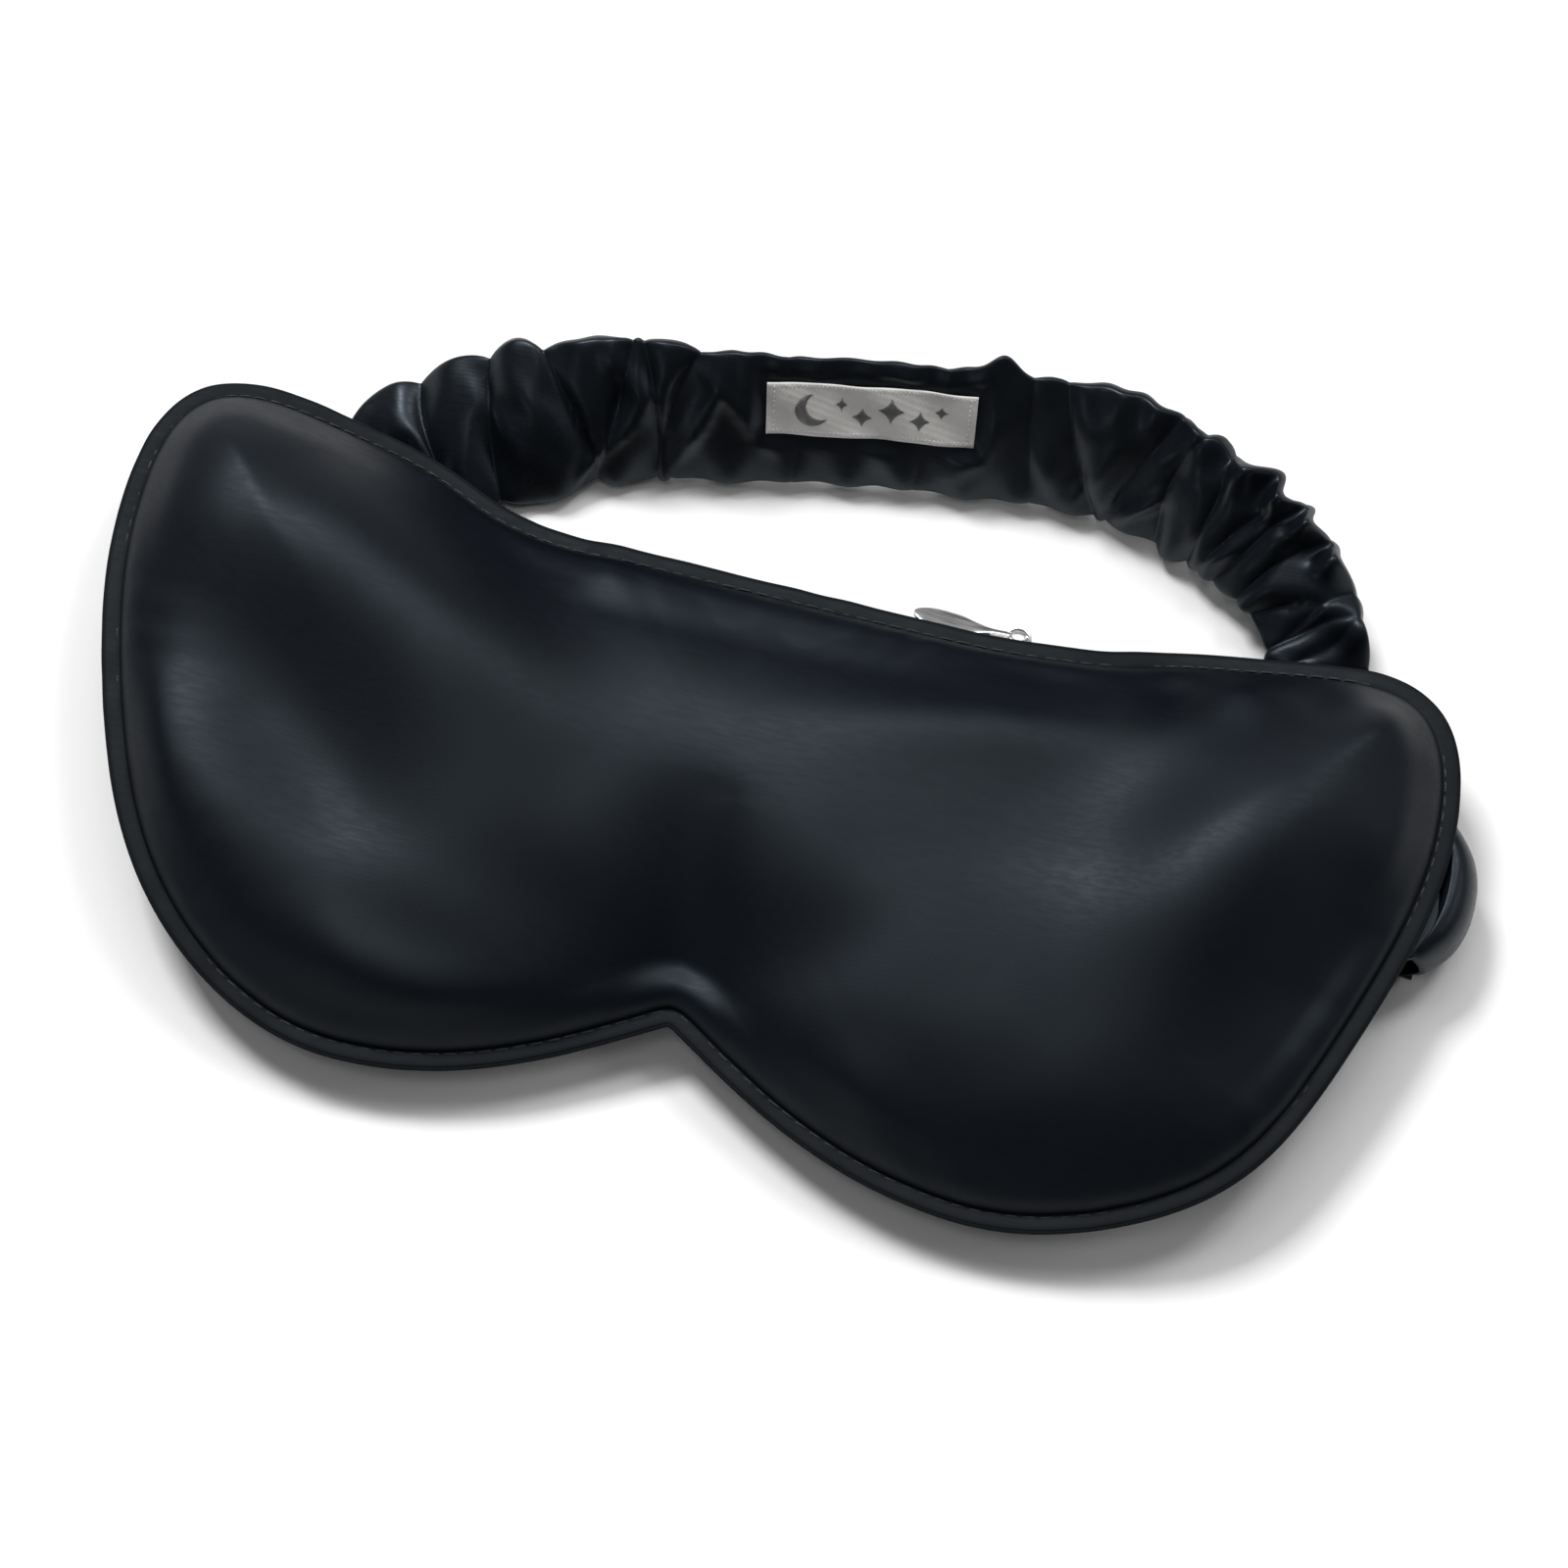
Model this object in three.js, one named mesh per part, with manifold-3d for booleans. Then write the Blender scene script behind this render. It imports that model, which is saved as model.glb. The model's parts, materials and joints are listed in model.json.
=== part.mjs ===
// Padded satin sleep mask: a zipped two-lobed cover with a loose insert, and a ruched elastic strap.
// Millimetres. +X runs along the mask's width, +Y towards its brow edge, +Z out of its front.
// The mask lies on the flat of its back at z = 0.
import * as THREE from "three";
import Module from "manifold-3d";

// Overall sizes
const mask_width = 210;
const brow_y = 37.8; // height of the straight brow edge above the origin
const shoulder_y = 48.5; // top of each upper corner
const shoulder_x = 86;
const end_y = 22; // where each end is widest
const lobe_x = 46;
const lobe_y = -50; // bottom of each lobe
const notch_y = -32.8; // top of the nose notch
const brow_flat = 44; // half length of the straight brow edge, where the zip is

// Thickness
const seam_height = 8; // height of the edge seam over the table
const end_lift = 6; // how much higher the seam is at each end
const lift_start = 50; // half width of the part of the mask that lies flat
const front_rise = 11; // crown of the front over the edge seam
const flange_width = 4.5; // flat stitched margin round the pad
const front_slope = 36; // distance over which the front rises to its full crown
const back_slope = 20;
const silk = 0.6;
const cover_cloth = 0.5;
const clearance = 0.3;
const seam_gap = 0.15; // half the space between the two panels' margins
const insert_inset = 1.5; // from the stitched margin to the insert's edge
const binding_width = 3;
const binding_height = 2.2;

// Zip
const zip_left = -26;
const zip_right = 42;
const zip_tilt = 15; // degrees, slider leaning towards the front
const coil_radius = 0.65;
const coil_pitch = 2.4;
const coil_groove = 0.2;
const coil_spacing = 1.6;
const coil_inset = 1.2; // from the brow edge in to the coils
const tape_thickness = 0.4;
const tape_inset = 4.2;
const stop_length = 1.4;
const slider_length = 8;
const slider_channel = 3.5;
const slider_channel_depth = 2;
const slider_wall = 0.7;
const slider_slot = 2.6;
const bridge_radius = 1.8;
const bridge_bar = 0.45;
const bridge_lift = 0.75; // from the slider's outer plate to the centre of the bridge's arch
const pull_length = 16.5;
const pull_width = 4.8;
const pull_neck = 1.7;
const pull_eye = 1.65;
const pull_hole = 0.95;
const pull_thickness = 0.8;

// Strap
const strap_width = 24;
const strap_thickness = 3;
const sleeve_wall = 0.5;
const elastic_width = 18;
const elastic_thickness = 0.6;
const strap_end_y = 15; // middle of each sewn strap end
const strap_reach = 54; // from the sewn ends to the furthest point of the loop's middle line
const strap_lean = 36; // degrees from upright, at the back of the loop
const back_hollow = 0.35; // how far the back is off the table at the nose
const hollow_reach = 40;
const dent_margin = 1.6; // more room where the mask's back is pushed up by the strap
const fold_reach = 3.4;
const tab_length = 4.3;
const tab_thickness = 1;
const tack_width = 1.2;
const tack_thickness = 0.4;
const label_length = 32;
const label_height = 9.6;
const label_thickness = 0.35;
const label_centre_x = 5;
const label_up = 1.9; // the label's middle above the strap's middle line
const stitch_width = 0.7;
const stitch_thickness = 0.25;

const half_width = mask_width / 2;
// half the open width of the zip's mouth
const lip_gap = slider_channel / 2 + slider_wall + coil_groove + 0.15;
const coil_y = brow_y - coil_inset;
const tilt = THREE.MathUtils.degToRad(zip_tilt);
const slider_x = zip_right - stop_length - clearance * 2 - slider_length / 2 - 1;

const satin = new THREE.MeshStandardMaterial({ color: 0x15181c, roughness: 0.42, metalness: 0 });
const lining = new THREE.MeshStandardMaterial({ color: 0x1c1e22, roughness: 0.7, metalness: 0 });
const filling = new THREE.MeshStandardMaterial({ color: 0xe6e3dc, roughness: 0.95, metalness: 0 });
const coil_nylon = new THREE.MeshStandardMaterial({ color: 0x101113, roughness: 0.5, metalness: 0 });
const tape_cloth = new THREE.MeshStandardMaterial({ color: 0x131417, roughness: 0.85, metalness: 0 });
const nickel = new THREE.MeshStandardMaterial({ color: 0xb9babb, roughness: 0.3, metalness: 1 });
const rubber_elastic = new THREE.MeshStandardMaterial({ color: 0x1a1a1c, roughness: 0.9, metalness: 0 });
const thread = new THREE.MeshStandardMaterial({ color: 0x17191d, roughness: 0.6, metalness: 0 });
const label_ribbon = new THREE.MeshStandardMaterial({ color: 0xcfcfce, roughness: 0.45, metalness: 0 });

const part = new THREE.Group();
const wasm = await Module();
wasm.setup();

function add(name, geometry, material) {
  const mesh = new THREE.Mesh(geometry, material);
  mesh.name = name;
  part.add(mesh);
  return mesh;
}

function smooth(value, from, to) {
  return THREE.MathUtils.smoothstep(value, from, to);
}

// ---- The mask's outline, counterclockwise from the left end of the straight brow edge's mirror ----

function bezier(from, handle_a, handle_b, to, steps) {
  const curve = new THREE.CubicBezierCurve(
    new THREE.Vector2(...from),
    new THREE.Vector2(...handle_a),
    new THREE.Vector2(...handle_b),
    new THREE.Vector2(...to),
  );
  return curve.getSpacedPoints(steps).slice(1);
}

function rightHalfOutline() {
  // from the brow's right end round the right lobe to the nose notch
  const brow = [brow_flat, brow_y];
  const shoulder = [shoulder_x, shoulder_y];
  const end = [half_width, end_y];
  const lobe = [lobe_x, lobe_y];
  return [
    ...bezier(brow, [brow_flat + 12, brow_y], [shoulder_x - 16, shoulder_y], shoulder, 5),
    ...bezier(shoulder, [shoulder_x + 13.5, shoulder_y], [half_width, end_y + 17], end, 6),
    ...bezier(end, [half_width, end_y - 30], [lobe_x + 32, lobe_y], lobe, 11),
    ...bezier(lobe, [lobe_x - 20, lobe_y], [10.3, notch_y - 6.1], [0, notch_y], 6),
  ];
}

function makeOutline() {
  const half = rightHalfOutline();
  const brow_steps = 22;
  const brow = [];
  for (let i = 0; i <= brow_steps; i++) {
    brow.push(new THREE.Vector2(-brow_flat + (2 * brow_flat * i) / brow_steps, brow_y));
  }
  const left = half.slice(0, -1).reverse().map((p) => new THREE.Vector2(-p.x, p.y));
  return [...brow, ...half, ...left].reverse();
}

const outline = makeOutline();
const edge_normals = outline.map((p, i) => {
  const before = outline[(i + outline.length - 1) % outline.length];
  const after = outline[(i + 1) % outline.length];
  const a = p.clone().sub(before).normalize();
  const b = after.clone().sub(p).normalize();
  const along = a.add(b).normalize();
  return new THREE.Vector2(-along.y, along.x);
});

function inZipMouth(p) {
  return p.y > brow_y - 0.01 && p.y < brow_y + 0.01 && p.x > zip_left - 1.9 && p.x < zip_right + 1.9;
}

function offsetOutline(distance) {
  return outline.map((p, i) => p.clone().addScaledVector(edge_normals[i], distance));
}

function distanceToEdge(p) {
  let least = Infinity;
  for (let i = 0; i < outline.length; i++) {
    const a = outline[i];
    const b = outline[(i + 1) % outline.length];
    const side = b.clone().sub(a);
    const t = THREE.MathUtils.clamp(p.clone().sub(a).dot(side) / side.lengthSq(), 0, 1);
    least = Math.min(least, p.distanceTo(a.clone().addScaledVector(side, t)));
  }
  return least;
}

// ---- Heights of the two cloth panels over the table ----

const sewn_x = half_width + clearance * 2;
const strap_line = strapMiddle();
const strap_points = strap_line.getSpacedPoints(120);

function distanceToStrap(p) {
  return Math.min(...strap_points.map((q) => Math.hypot(q.x - p.x, q.y - p.y)));
}

function seamHeight(x) {
  return seam_height + end_lift * smooth(Math.abs(x), lift_start, half_width);
}

function puff(inside, slope) {
  const share = THREE.MathUtils.clamp((inside - flange_width) / slope, 0, 1);
  return Math.pow(1 - Math.pow(1 - share, 2.4), 0.62);
}

function lipGap(p, inside) {
  const along = smooth(p.x, zip_left - 6, zip_left - 2) * (1 - smooth(p.x, zip_right + 2, zip_right + 6));
  const across = 1 - smooth(inside, flange_width, 2 * flange_width);
  return seam_gap + (lip_gap - seam_gap) * along * across * (p.y > 0 ? 1 : 0);
}

function frontInner(p) {
  const inside = distanceToEdge(p);
  return seamHeight(p.x) + lipGap(p, inside) + front_rise * puff(inside, front_slope);
}

function backInner(p) {
  // the back stands on its two lobes, a little hollow between them, and is pushed up by the strap under it
  const inside = distanceToEdge(p);
  const depth = seam_height - seam_gap - silk;
  const free = seamHeight(p.x) - lipGap(p, inside) - depth * puff(inside, back_slope);
  const over_strap = 1 - smooth(distanceToStrap(p), strap_width / 2 + 3, strap_width / 2 + 15);
  const hollow = back_hollow * Math.max(0, 1 - (p.x / hollow_reach) ** 2);
  return Math.max(free, silk + hollow + over_strap * (strap_thickness + 2 * clearance + dent_margin));
}

// ---- Layers of the mask: rings of points shared by every layer, so that they nest ----

const centre = new THREE.Vector2(0, 2);
const insert_edge = offsetOutline(flange_width + insert_inset);
const margin_line = offsetOutline(flange_width);
const panel_edge = outline.map((p, i) => {
  const inset = inZipMouth(p) ? clearance / 2 : binding_width + clearance;
  return p.clone().addScaledVector(edge_normals[i], inset);
});
const insert_rings = [0.36, 0.6, 0.78, 0.91, 1].map((share) =>
  insert_edge.map((p) => centre.clone().lerp(p, share)),
);
const panel_rings = [...insert_rings, margin_line, panel_edge];

function layer(rings, topOf, bottomOf) {
  const count = rings[0].length;
  const corners = [];
  const faces = [];
  for (const height of [topOf, bottomOf]) {
    corners.push(centre.x, centre.y, height(centre));
    rings.forEach((ring) => ring.forEach((p) => corners.push(p.x, p.y, height(p))));
  }
  const below = 1 + rings.length * count;
  const at = (ring, i) => 1 + ring * count + (i % count);
  const put = (a, b, c) => {
    faces.push(a, b, c);
    faces.push(below + a, below + c, below + b);
  };
  for (let i = 0; i < count; i++) {
    put(0, at(0, i), at(0, i + 1));
    for (let r = 1; r < rings.length; r++) {
      put(at(r - 1, i), at(r, i), at(r, i + 1));
      put(at(r - 1, i), at(r, i + 1), at(r - 1, i + 1));
    }
    const a = at(rings.length - 1, i);
    const b = at(rings.length - 1, i + 1);
    faces.push(a, below + a, below + b);
    faces.push(a, below + b, b);
  }
  const geometry = new THREE.BufferGeometry();
  geometry.setAttribute("position", new THREE.Float32BufferAttribute(corners, 3));
  geometry.setIndex(faces);
  geometry.computeVertexNormals();
  return geometry;
}

function addCover() {
  add("front_panel", layer(panel_rings, (p) => frontInner(p) + silk, frontInner), satin);
  add("back_panel", layer(panel_rings, backInner, (p) => backInner(p) - silk), satin);
}

function addInsert() {
  const front_top = (p) => frontInner(p) - clearance;
  const front_under = (p) => front_top(p) - cover_cloth;
  const back_under = (p) => backInner(p) + clearance;
  const back_top = (p) => back_under(p) + cover_cloth;
  const fill_top = (p) => front_under(p) - clearance;
  const fill_under = (p) => back_top(p) + clearance;
  add("insert_cover_front", layer(insert_rings, front_top, front_under), lining);
  add("insert_cover_back", layer(insert_rings, back_top, back_under), lining);
  add("insert_fill", layer(insert_rings, fill_top, fill_under), filling);
}

// ---- Sweeping a section along frames, each with a middle, a width and a thickness direction ----

function sweep(frames, loops) {
  // loops: one outline is a solid bar, two (outer, inner) make a hollow sleeve open at both ends
  const corners = [];
  const faces = [];
  const starts = [];
  for (const loop of loops) {
    starts.push(corners.length / 3);
    for (const frame of frames) {
      for (const [a, b] of loop) {
        const p = frame.middle.clone().addScaledVector(frame.wide, a).addScaledVector(frame.thick, b);
        corners.push(p.x, p.y, p.z);
      }
    }
  }
  const last = frames.length - 1;
  loops.forEach((loop, which) => {
    const n = loop.length;
    const at = (row, i) => starts[which] + row * n + (i % n);
    for (let row = 0; row < last; row++) {
      for (let i = 0; i < n; i++) {
        const quad = [at(row, i), at(row, i + 1), at(row + 1, i + 1), at(row + 1, i)];
        if (which) quad.reverse();
        faces.push(quad[0], quad[1], quad[2], quad[0], quad[2], quad[3]);
      }
    }
  });
  const cap = (row, flip) => {
    const push = (a, b, c) => faces.push(...(flip ? [a, c, b] : [a, b, c]));
    const n = loops[0].length;
    const outer = (i) => starts[0] + row * n + (i % n);
    if (loops.length === 1) {
      for (let i = 1; i < n - 1; i++) push(outer(0), outer(i + 1), outer(i));
      return;
    }
    const inner = (i) => starts[1] + row * n + (i % n);
    for (let i = 0; i < n; i++) {
      push(outer(i), inner(i + 1), outer(i + 1));
      push(outer(i), inner(i), inner(i + 1));
    }
  };
  cap(0, false);
  cap(last, true);
  const geometry = new THREE.BufferGeometry();
  geometry.setAttribute("position", new THREE.Float32BufferAttribute(corners, 3));
  geometry.setIndex(faces);
  geometry.computeVertexNormals();
  return geometry;
}

function addBinding() {
  const count = outline.length;
  const first = outline.findIndex((p, i) => inZipMouth(p) && !inZipMouth(outline[(i + 1) % count]));
  const order = outline.map((p, i) => (first + 1 + i) % count).filter((i) => !inZipMouth(outline[i]));
  const frames = order.map((i) => ({
    middle: new THREE.Vector3(
      outline[i].x + (edge_normals[i].x * binding_width) / 2,
      outline[i].y + (edge_normals[i].y * binding_width) / 2,
      seamHeight(outline[i].x),
    ),
    wide: new THREE.Vector3(edge_normals[i].x, edge_normals[i].y, 0),
    thick: new THREE.Vector3(0, 0, 1),
  }));
  const w = binding_width / 2;
  const h = binding_height / 2;
  const section = [[w, 0], [w * 0.55, h], [-w * 0.55, h], [-w, 0], [-w * 0.55, -h], [w * 0.55, -h]];
  add("edge_binding", sweep(frames, [section]), satin);
}

// ---- Zip, laid along X with the slider's outer face towards +Y, then tilted ----

function ontoZip(geometry, x = 0) {
  // from the zip's own axes (X along, Y out of the seam, Z towards the front) to the mask's
  geometry.rotateX(tilt);
  geometry.translate(x, coil_y, seam_height);
  return geometry;
}

function alongX(shape_points, from, to) {
  // a closed section given as [z, y] pairs, extruded along X
  const shape = new THREE.Shape(shape_points.map(([z, y]) => new THREE.Vector2(-z, y)));
  const bar = new THREE.ExtrudeGeometry(shape, { depth: to - from, bevelEnabled: false, steps: 1 });
  bar.rotateY(Math.PI / 2);
  bar.translate(from, 0, 0);
  return bar;
}

function addTapes() {
  const near = coil_spacing / 2 - tape_thickness / 2;
  const far = lip_gap - clearance - tape_thickness;
  const t = tape_thickness;
  const out = -coil_radius - 0.5;
  const bend = -coil_radius - 1.35;
  const lift = -3.1;
  const tilted = ([z, y]) => {
    return [y * Math.sin(tilt) + z * Math.cos(tilt), y * Math.cos(tilt) - z * Math.sin(tilt)];
  };
  for (const [side, word] of [[1, "front"], [-1, "back"]]) {
    const profile = [
      tilted([side * near, out]), tilted([side * near, bend]),
      [side * far, lift],
      [side * far, -tape_inset],
      [side * (far + t), -tape_inset],
      [side * (far + t), lift],
      tilted([side * (near + t), bend + t * 0.4]), tilted([side * (near + t), out]),
    ];
    const tape = alongX(side > 0 ? profile : profile.reverse(), zip_left, zip_right);
    tape.translate(0, coil_y, seam_height);
    add("zip_tape_" + word, tape, tape_cloth);
  }
}

function coil(side) {
  const length = zip_right - zip_left - 2 * (stop_length + clearance);
  const turns = Math.round(length / coil_pitch);
  const profile = [new THREE.Vector2(0, 0)];
  for (let i = 0; i < turns; i++) {
    const from = (length * i) / turns;
    profile.push(new THREE.Vector2(coil_radius - coil_groove, from));
    profile.push(new THREE.Vector2(coil_radius, from + length / turns / 2));
  }
  profile.push(new THREE.Vector2(coil_radius - coil_groove, length));
  profile.push(new THREE.Vector2(0, length));
  const bar = new THREE.LatheGeometry(profile, 6);
  bar.rotateZ(-Math.PI / 2);
  bar.translate(0, 0, (side * coil_spacing) / 2);
  return ontoZip(bar, zip_left + stop_length + clearance);
}

function addCoils() {
  add("zip_coil_front", coil(1), coil_nylon);
  add("zip_coil_back", coil(-1), coil_nylon);
}

function addStops() {
  const width = slider_channel + 2 * slider_wall - 0.4;
  const tall = 2 * coil_radius + 0.4;
  const clip = () => new THREE.BoxGeometry(stop_length, tall, width);
  add("zip_top_stop", ontoZip(clip(), zip_right - stop_length / 2), nickel);
  add("zip_bottom_stop", ontoZip(clip(), zip_left + stop_length / 2), nickel);
}

function asManifold(geometry) {
  const bare = geometry.clone();
  bare.deleteAttribute("normal");
  bare.deleteAttribute("uv");
  const flat = bare.index ? bare.toNonIndexed() : bare;
  const keys = new Map();
  const corners = [];
  const faces = [];
  const position = flat.attributes.position;
  for (let i = 0; i < position.count; i++) {
    const p = [position.getX(i), position.getY(i), position.getZ(i)].map((v) => Math.round(v * 1e4) / 1e4);
    const key = p.join();
    if (!keys.has(key)) {
      keys.set(key, corners.length / 3);
      corners.push(...p);
    }
    faces.push(keys.get(key));
  }
  const solid = [];
  for (let i = 0; i < faces.length; i += 3) {
    const [a, b, c] = faces.slice(i, i + 3);
    if (a !== b && b !== c && a !== c) solid.push(a, b, c);
  }
  return new wasm.Manifold(
    new wasm.Mesh({
      numProp: 3,
      vertProperties: new Float32Array(corners),
      triVerts: new Uint32Array(solid),
    }),
  );
}

function asGeometry(solid) {
  const mesh = solid.getMesh();
  const geometry = new THREE.BufferGeometry();
  geometry.setAttribute("position", new THREE.BufferAttribute(mesh.vertProperties, 3));
  geometry.setIndex(new THREE.BufferAttribute(mesh.triVerts, 1));
  geometry.computeVertexNormals();
  return geometry;
}

const plate_out = slider_channel_depth / 2 + slider_wall; // the slider's outer face, from the coils' middle
const bridge_centre = plate_out + bridge_lift;

function addSlider() {
  const c = slider_channel / 2;
  const w = c + slider_wall;
  const d = slider_channel_depth / 2;
  const s = slider_slot / 2;
  const section = [
    [-s, -plate_out], [-s, -d], [-c, -d], [-c, d], [c, d], [c, -d], [s, -d], [s, -plate_out],
    [w - 0.4, -plate_out], [w, -d], [w, d], [w - 0.5, plate_out],
    [-w + 0.5, plate_out], [-w, d], [-w, -d], [-w + 0.4, -plate_out],
  ];
  const body = alongX(section, -slider_length / 2, slider_length / 2);
  const arch = new THREE.CurvePath();
  const foot = plate_out - 0.3;
  arch.add(
    new THREE.LineCurve3(
      new THREE.Vector3(-bridge_radius, foot, 0),
      new THREE.Vector3(-bridge_radius, bridge_centre, 0),
    ),
  );
  const bow = new THREE.CatmullRomCurve3(
    [180, 150, 120, 90, 60, 30, 0].map((degrees) => {
      const angle = THREE.MathUtils.degToRad(degrees);
      return new THREE.Vector3(
        Math.cos(angle) * bridge_radius,
        bridge_centre + Math.sin(angle) * bridge_radius,
        0,
      );
    }),
  );
  arch.add(bow);
  arch.add(
    new THREE.LineCurve3(
      new THREE.Vector3(bridge_radius, bridge_centre, 0),
      new THREE.Vector3(bridge_radius, foot, 0),
    ),
  );
  const bar = new THREE.Shape();
  bar.absarc(0, 0, bridge_bar, 0, Math.PI * 2);
  const loop = new THREE.ExtrudeGeometry(bar, {
    extrudePath: arch,
    steps: 16,
    curveSegments: 4,
    bevelEnabled: false,
  });
  const whole = asManifold(body).add(asManifold(loop));
  add("zip_slider_body", ontoZip(asGeometry(whole), slider_x), nickel);
}

function addPull() {
  // drawn pointing along +x with its eye at the origin, then turned to lie along the zip's -X
  const plate = new THREE.Shape();
  const n = pull_neck / 2;
  const w = pull_width / 2;
  const broad = pull_length * 0.66;
  const join = Math.sqrt(pull_eye * pull_eye - n * n);
  plate.moveTo(join, n);
  plate.absarc(0, 0, pull_eye, Math.atan2(n, join), Math.PI * 2 - Math.atan2(n, join), false);
  plate.bezierCurveTo(pull_length * 0.3, -n, pull_length * 0.36, -w, broad, -w);
  plate.bezierCurveTo(pull_length * 0.88, -w, pull_length - 0.6, -w * 0.45, pull_length - 0.3, 0);
  plate.bezierCurveTo(pull_length - 0.6, w * 0.45, pull_length * 0.88, w, broad, w);
  plate.bezierCurveTo(pull_length * 0.36, w, pull_length * 0.3, n, join, n);
  const hole = new THREE.Path();
  hole.absarc(0, 0, pull_hole, 0, Math.PI * 2, true);
  plate.holes.push(hole);
  const tab = new THREE.ExtrudeGeometry(plate, {
    depth: pull_thickness,
    bevelEnabled: false,
    curveSegments: 7,
  });
  tab.translate(0, 0, -pull_thickness / 2);
  tab.rotateX(-Math.PI / 2);
  tab.rotateY(Math.PI);
  tab.translate(-bridge_radius, bridge_centre, 0);
  add("zip_pull_tab", ontoZip(tab, slider_x), nickel);
}

// ---- Strap ----

const tab_top = seamHeight(half_width) - binding_height / 2 - clearance;
const strap_flat_z = clearance + strap_thickness / 2;

function browEdge(x) {
  // height of the mask's upper outline at x
  let best = brow_y;
  for (const p of outline) {
    if (p.y > end_y && Math.abs(p.x - x) < 6) best = p.y;
  }
  return best;
}

function strapMiddle() {
  // the strap's middle line on the table: x as a share of the half width, y as a share of the reach
  const shares = [
    [1, 0], [0.9, 0.01], [0.785, 0.16], [0.745, 0.42], [0.71, 0.66], [0.575, 0.9], [0.4, 1],
    [0.14, 0.96], [-0.14, 0.86], [-0.39, 0.75], [-0.585, 0.57], [-0.67, 0.32], [-0.78, 0.09],
    [-0.9, 0.005], [-1, 0],
  ];
  const line = shares.map(
    ([across, up]) => new THREE.Vector3(across * sewn_x, strap_end_y + up * strap_reach, 0),
  );
  return new THREE.CatmullRomCurve3(line, false, "centripetal");
}

function frameAt(middle, forward, wide) {
  const thick = forward.clone().cross(wide).normalize();
  return { middle, wide, thick };
}

function foldFrames(side) {
  // from the sewn end, out past the mask's edge and down to the table
  const steps = 6;
  const top = tab_top - tab_thickness / 2;
  const tall = (top - strap_flat_z) / 2;
  const frames = [];
  for (let i = 0; i < steps; i++) {
    const angle = Math.PI / 2 - (Math.PI * i) / steps;
    const middle = new THREE.Vector3(
      side * (sewn_x + fold_reach * Math.cos(angle)),
      strap_end_y,
      strap_flat_z + tall + tall * Math.sin(angle),
    );
    const forward = new THREE.Vector3(side * Math.sin(angle) * fold_reach, 0, -Math.cos(angle) * tall);
    forward.multiplyScalar(side).normalize();
    frames.push(frameAt(middle, forward, new THREE.Vector3(0, 1, 0)));
  }
  return side > 0 ? frames : frames.reverse();
}

function tableFrame(line, share) {
  const point = line.getPointAt(share);
  const forward = line.getTangentAt(share).setZ(0).normalize();
  const beyond = point.y - browEdge(point.x);
  const upright = smooth(beyond, -6, 27);
  const lean = THREE.MathUtils.degToRad(90 - (90 - strap_lean) * upright);
  const wide = new THREE.Vector3(forward.y * Math.sin(lean), -forward.x * Math.sin(lean), Math.cos(lean));
  point.z = clearance + (strap_thickness / 2) * Math.sin(lean) + (strap_width / 2) * Math.cos(lean);
  return frameAt(point, forward, wide);
}

const table_steps = 62;

function strapFrames() {
  const frames = foldFrames(1);
  for (let i = 0; i <= table_steps; i++) frames.push(tableFrame(strap_line, i / table_steps));
  return [...frames, ...foldFrames(-1)];
}

function flatTube(width, thickness) {
  // a flattened ring with rounded edges
  const w = width / 2;
  const h = thickness / 2;
  const flat = w - h;
  const face = [flat, flat / 3, -flat / 3, -flat];
  return [[w, 0], ...face.map((a) => [a, h]), [-w, 0], ...face.reverse().map((a) => [a, -h])];
}

function addStrap() {
  const frames = strapFrames();
  const outer = flatTube(strap_width, strap_thickness);
  const inner = flatTube(strap_width - 2 * sleeve_wall, strap_thickness - 2 * sleeve_wall);
  add("strap_sleeve", sweep(frames, [outer, inner]), satin);
  const w = elastic_width / 2;
  const h = elastic_thickness / 2;
  const across = [w, w / 3, -w / 3, -w];
  const band = [...across.map((a) => [a, h]), ...across.reverse().map((a) => [a, -h])];
  add("strap_elastic", sweep(frames, [band]), rubber_elastic);
}

function addStrapTabs() {
  for (const [side, word] of [[1, "right"], [-1, "left"]]) {
    const tab = new THREE.BoxGeometry(tab_length, strap_width, tab_thickness);
    const x = side * (sewn_x - clearance - tab_length / 2);
    tab.translate(x, strap_end_y, tab_top - tab_thickness / 2);
    add("strap_tab_" + word, tab, satin);
    const tack = new THREE.BoxGeometry(tack_width, strap_width - 3, tack_thickness);
    tack.translate(x, strap_end_y, tab_top - tab_thickness - clearance - tack_thickness / 2);
    add("bar_tack_" + word, tack, thread);
  }
}

function shareAtX(x) {
  let best = 0;
  for (let i = 0; i <= 400; i++) {
    const gap = Math.abs(strap_line.getPointAt(i / 400).x - x);
    if (gap < Math.abs(strap_line.getPointAt(best).x - x)) best = i / 400;
  }
  return best;
}

function addLabel() {
  const middle = shareAtX(label_centre_x);
  const half = label_length / 2 / strap_line.getLength();
  const piece = (from, to, steps, height, near, far) => {
    const frames = [];
    for (let i = 0; i <= steps; i++) {
      const share = THREE.MathUtils.lerp(middle + from * half, middle + to * half, i / steps);
      frames.push(tableFrame(strap_line, share));
    }
    const low = label_up - height / 2;
    const high = label_up + height / 2;
    return sweep(frames, [[[high, -far], [high, -near], [low, -near], [low, -far]]]);
  };
  const face = strap_thickness / 2 + clearance;
  const outside = face + label_thickness;
  const seat = outside + 0.15;
  const inset = 1 - (2 * stitch_width) / label_length;
  add("strap_label", piece(-1, 1, 6, label_height, face, outside), label_ribbon);
  const stitch = (from, to) => piece(from, to, 1, label_height - 1, seat, seat + stitch_thickness);
  add("label_stitch_right", stitch(-inset, -inset + 0.045), thread);
  add("label_stitch_left", stitch(inset - 0.045, inset), thread);
}

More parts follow.
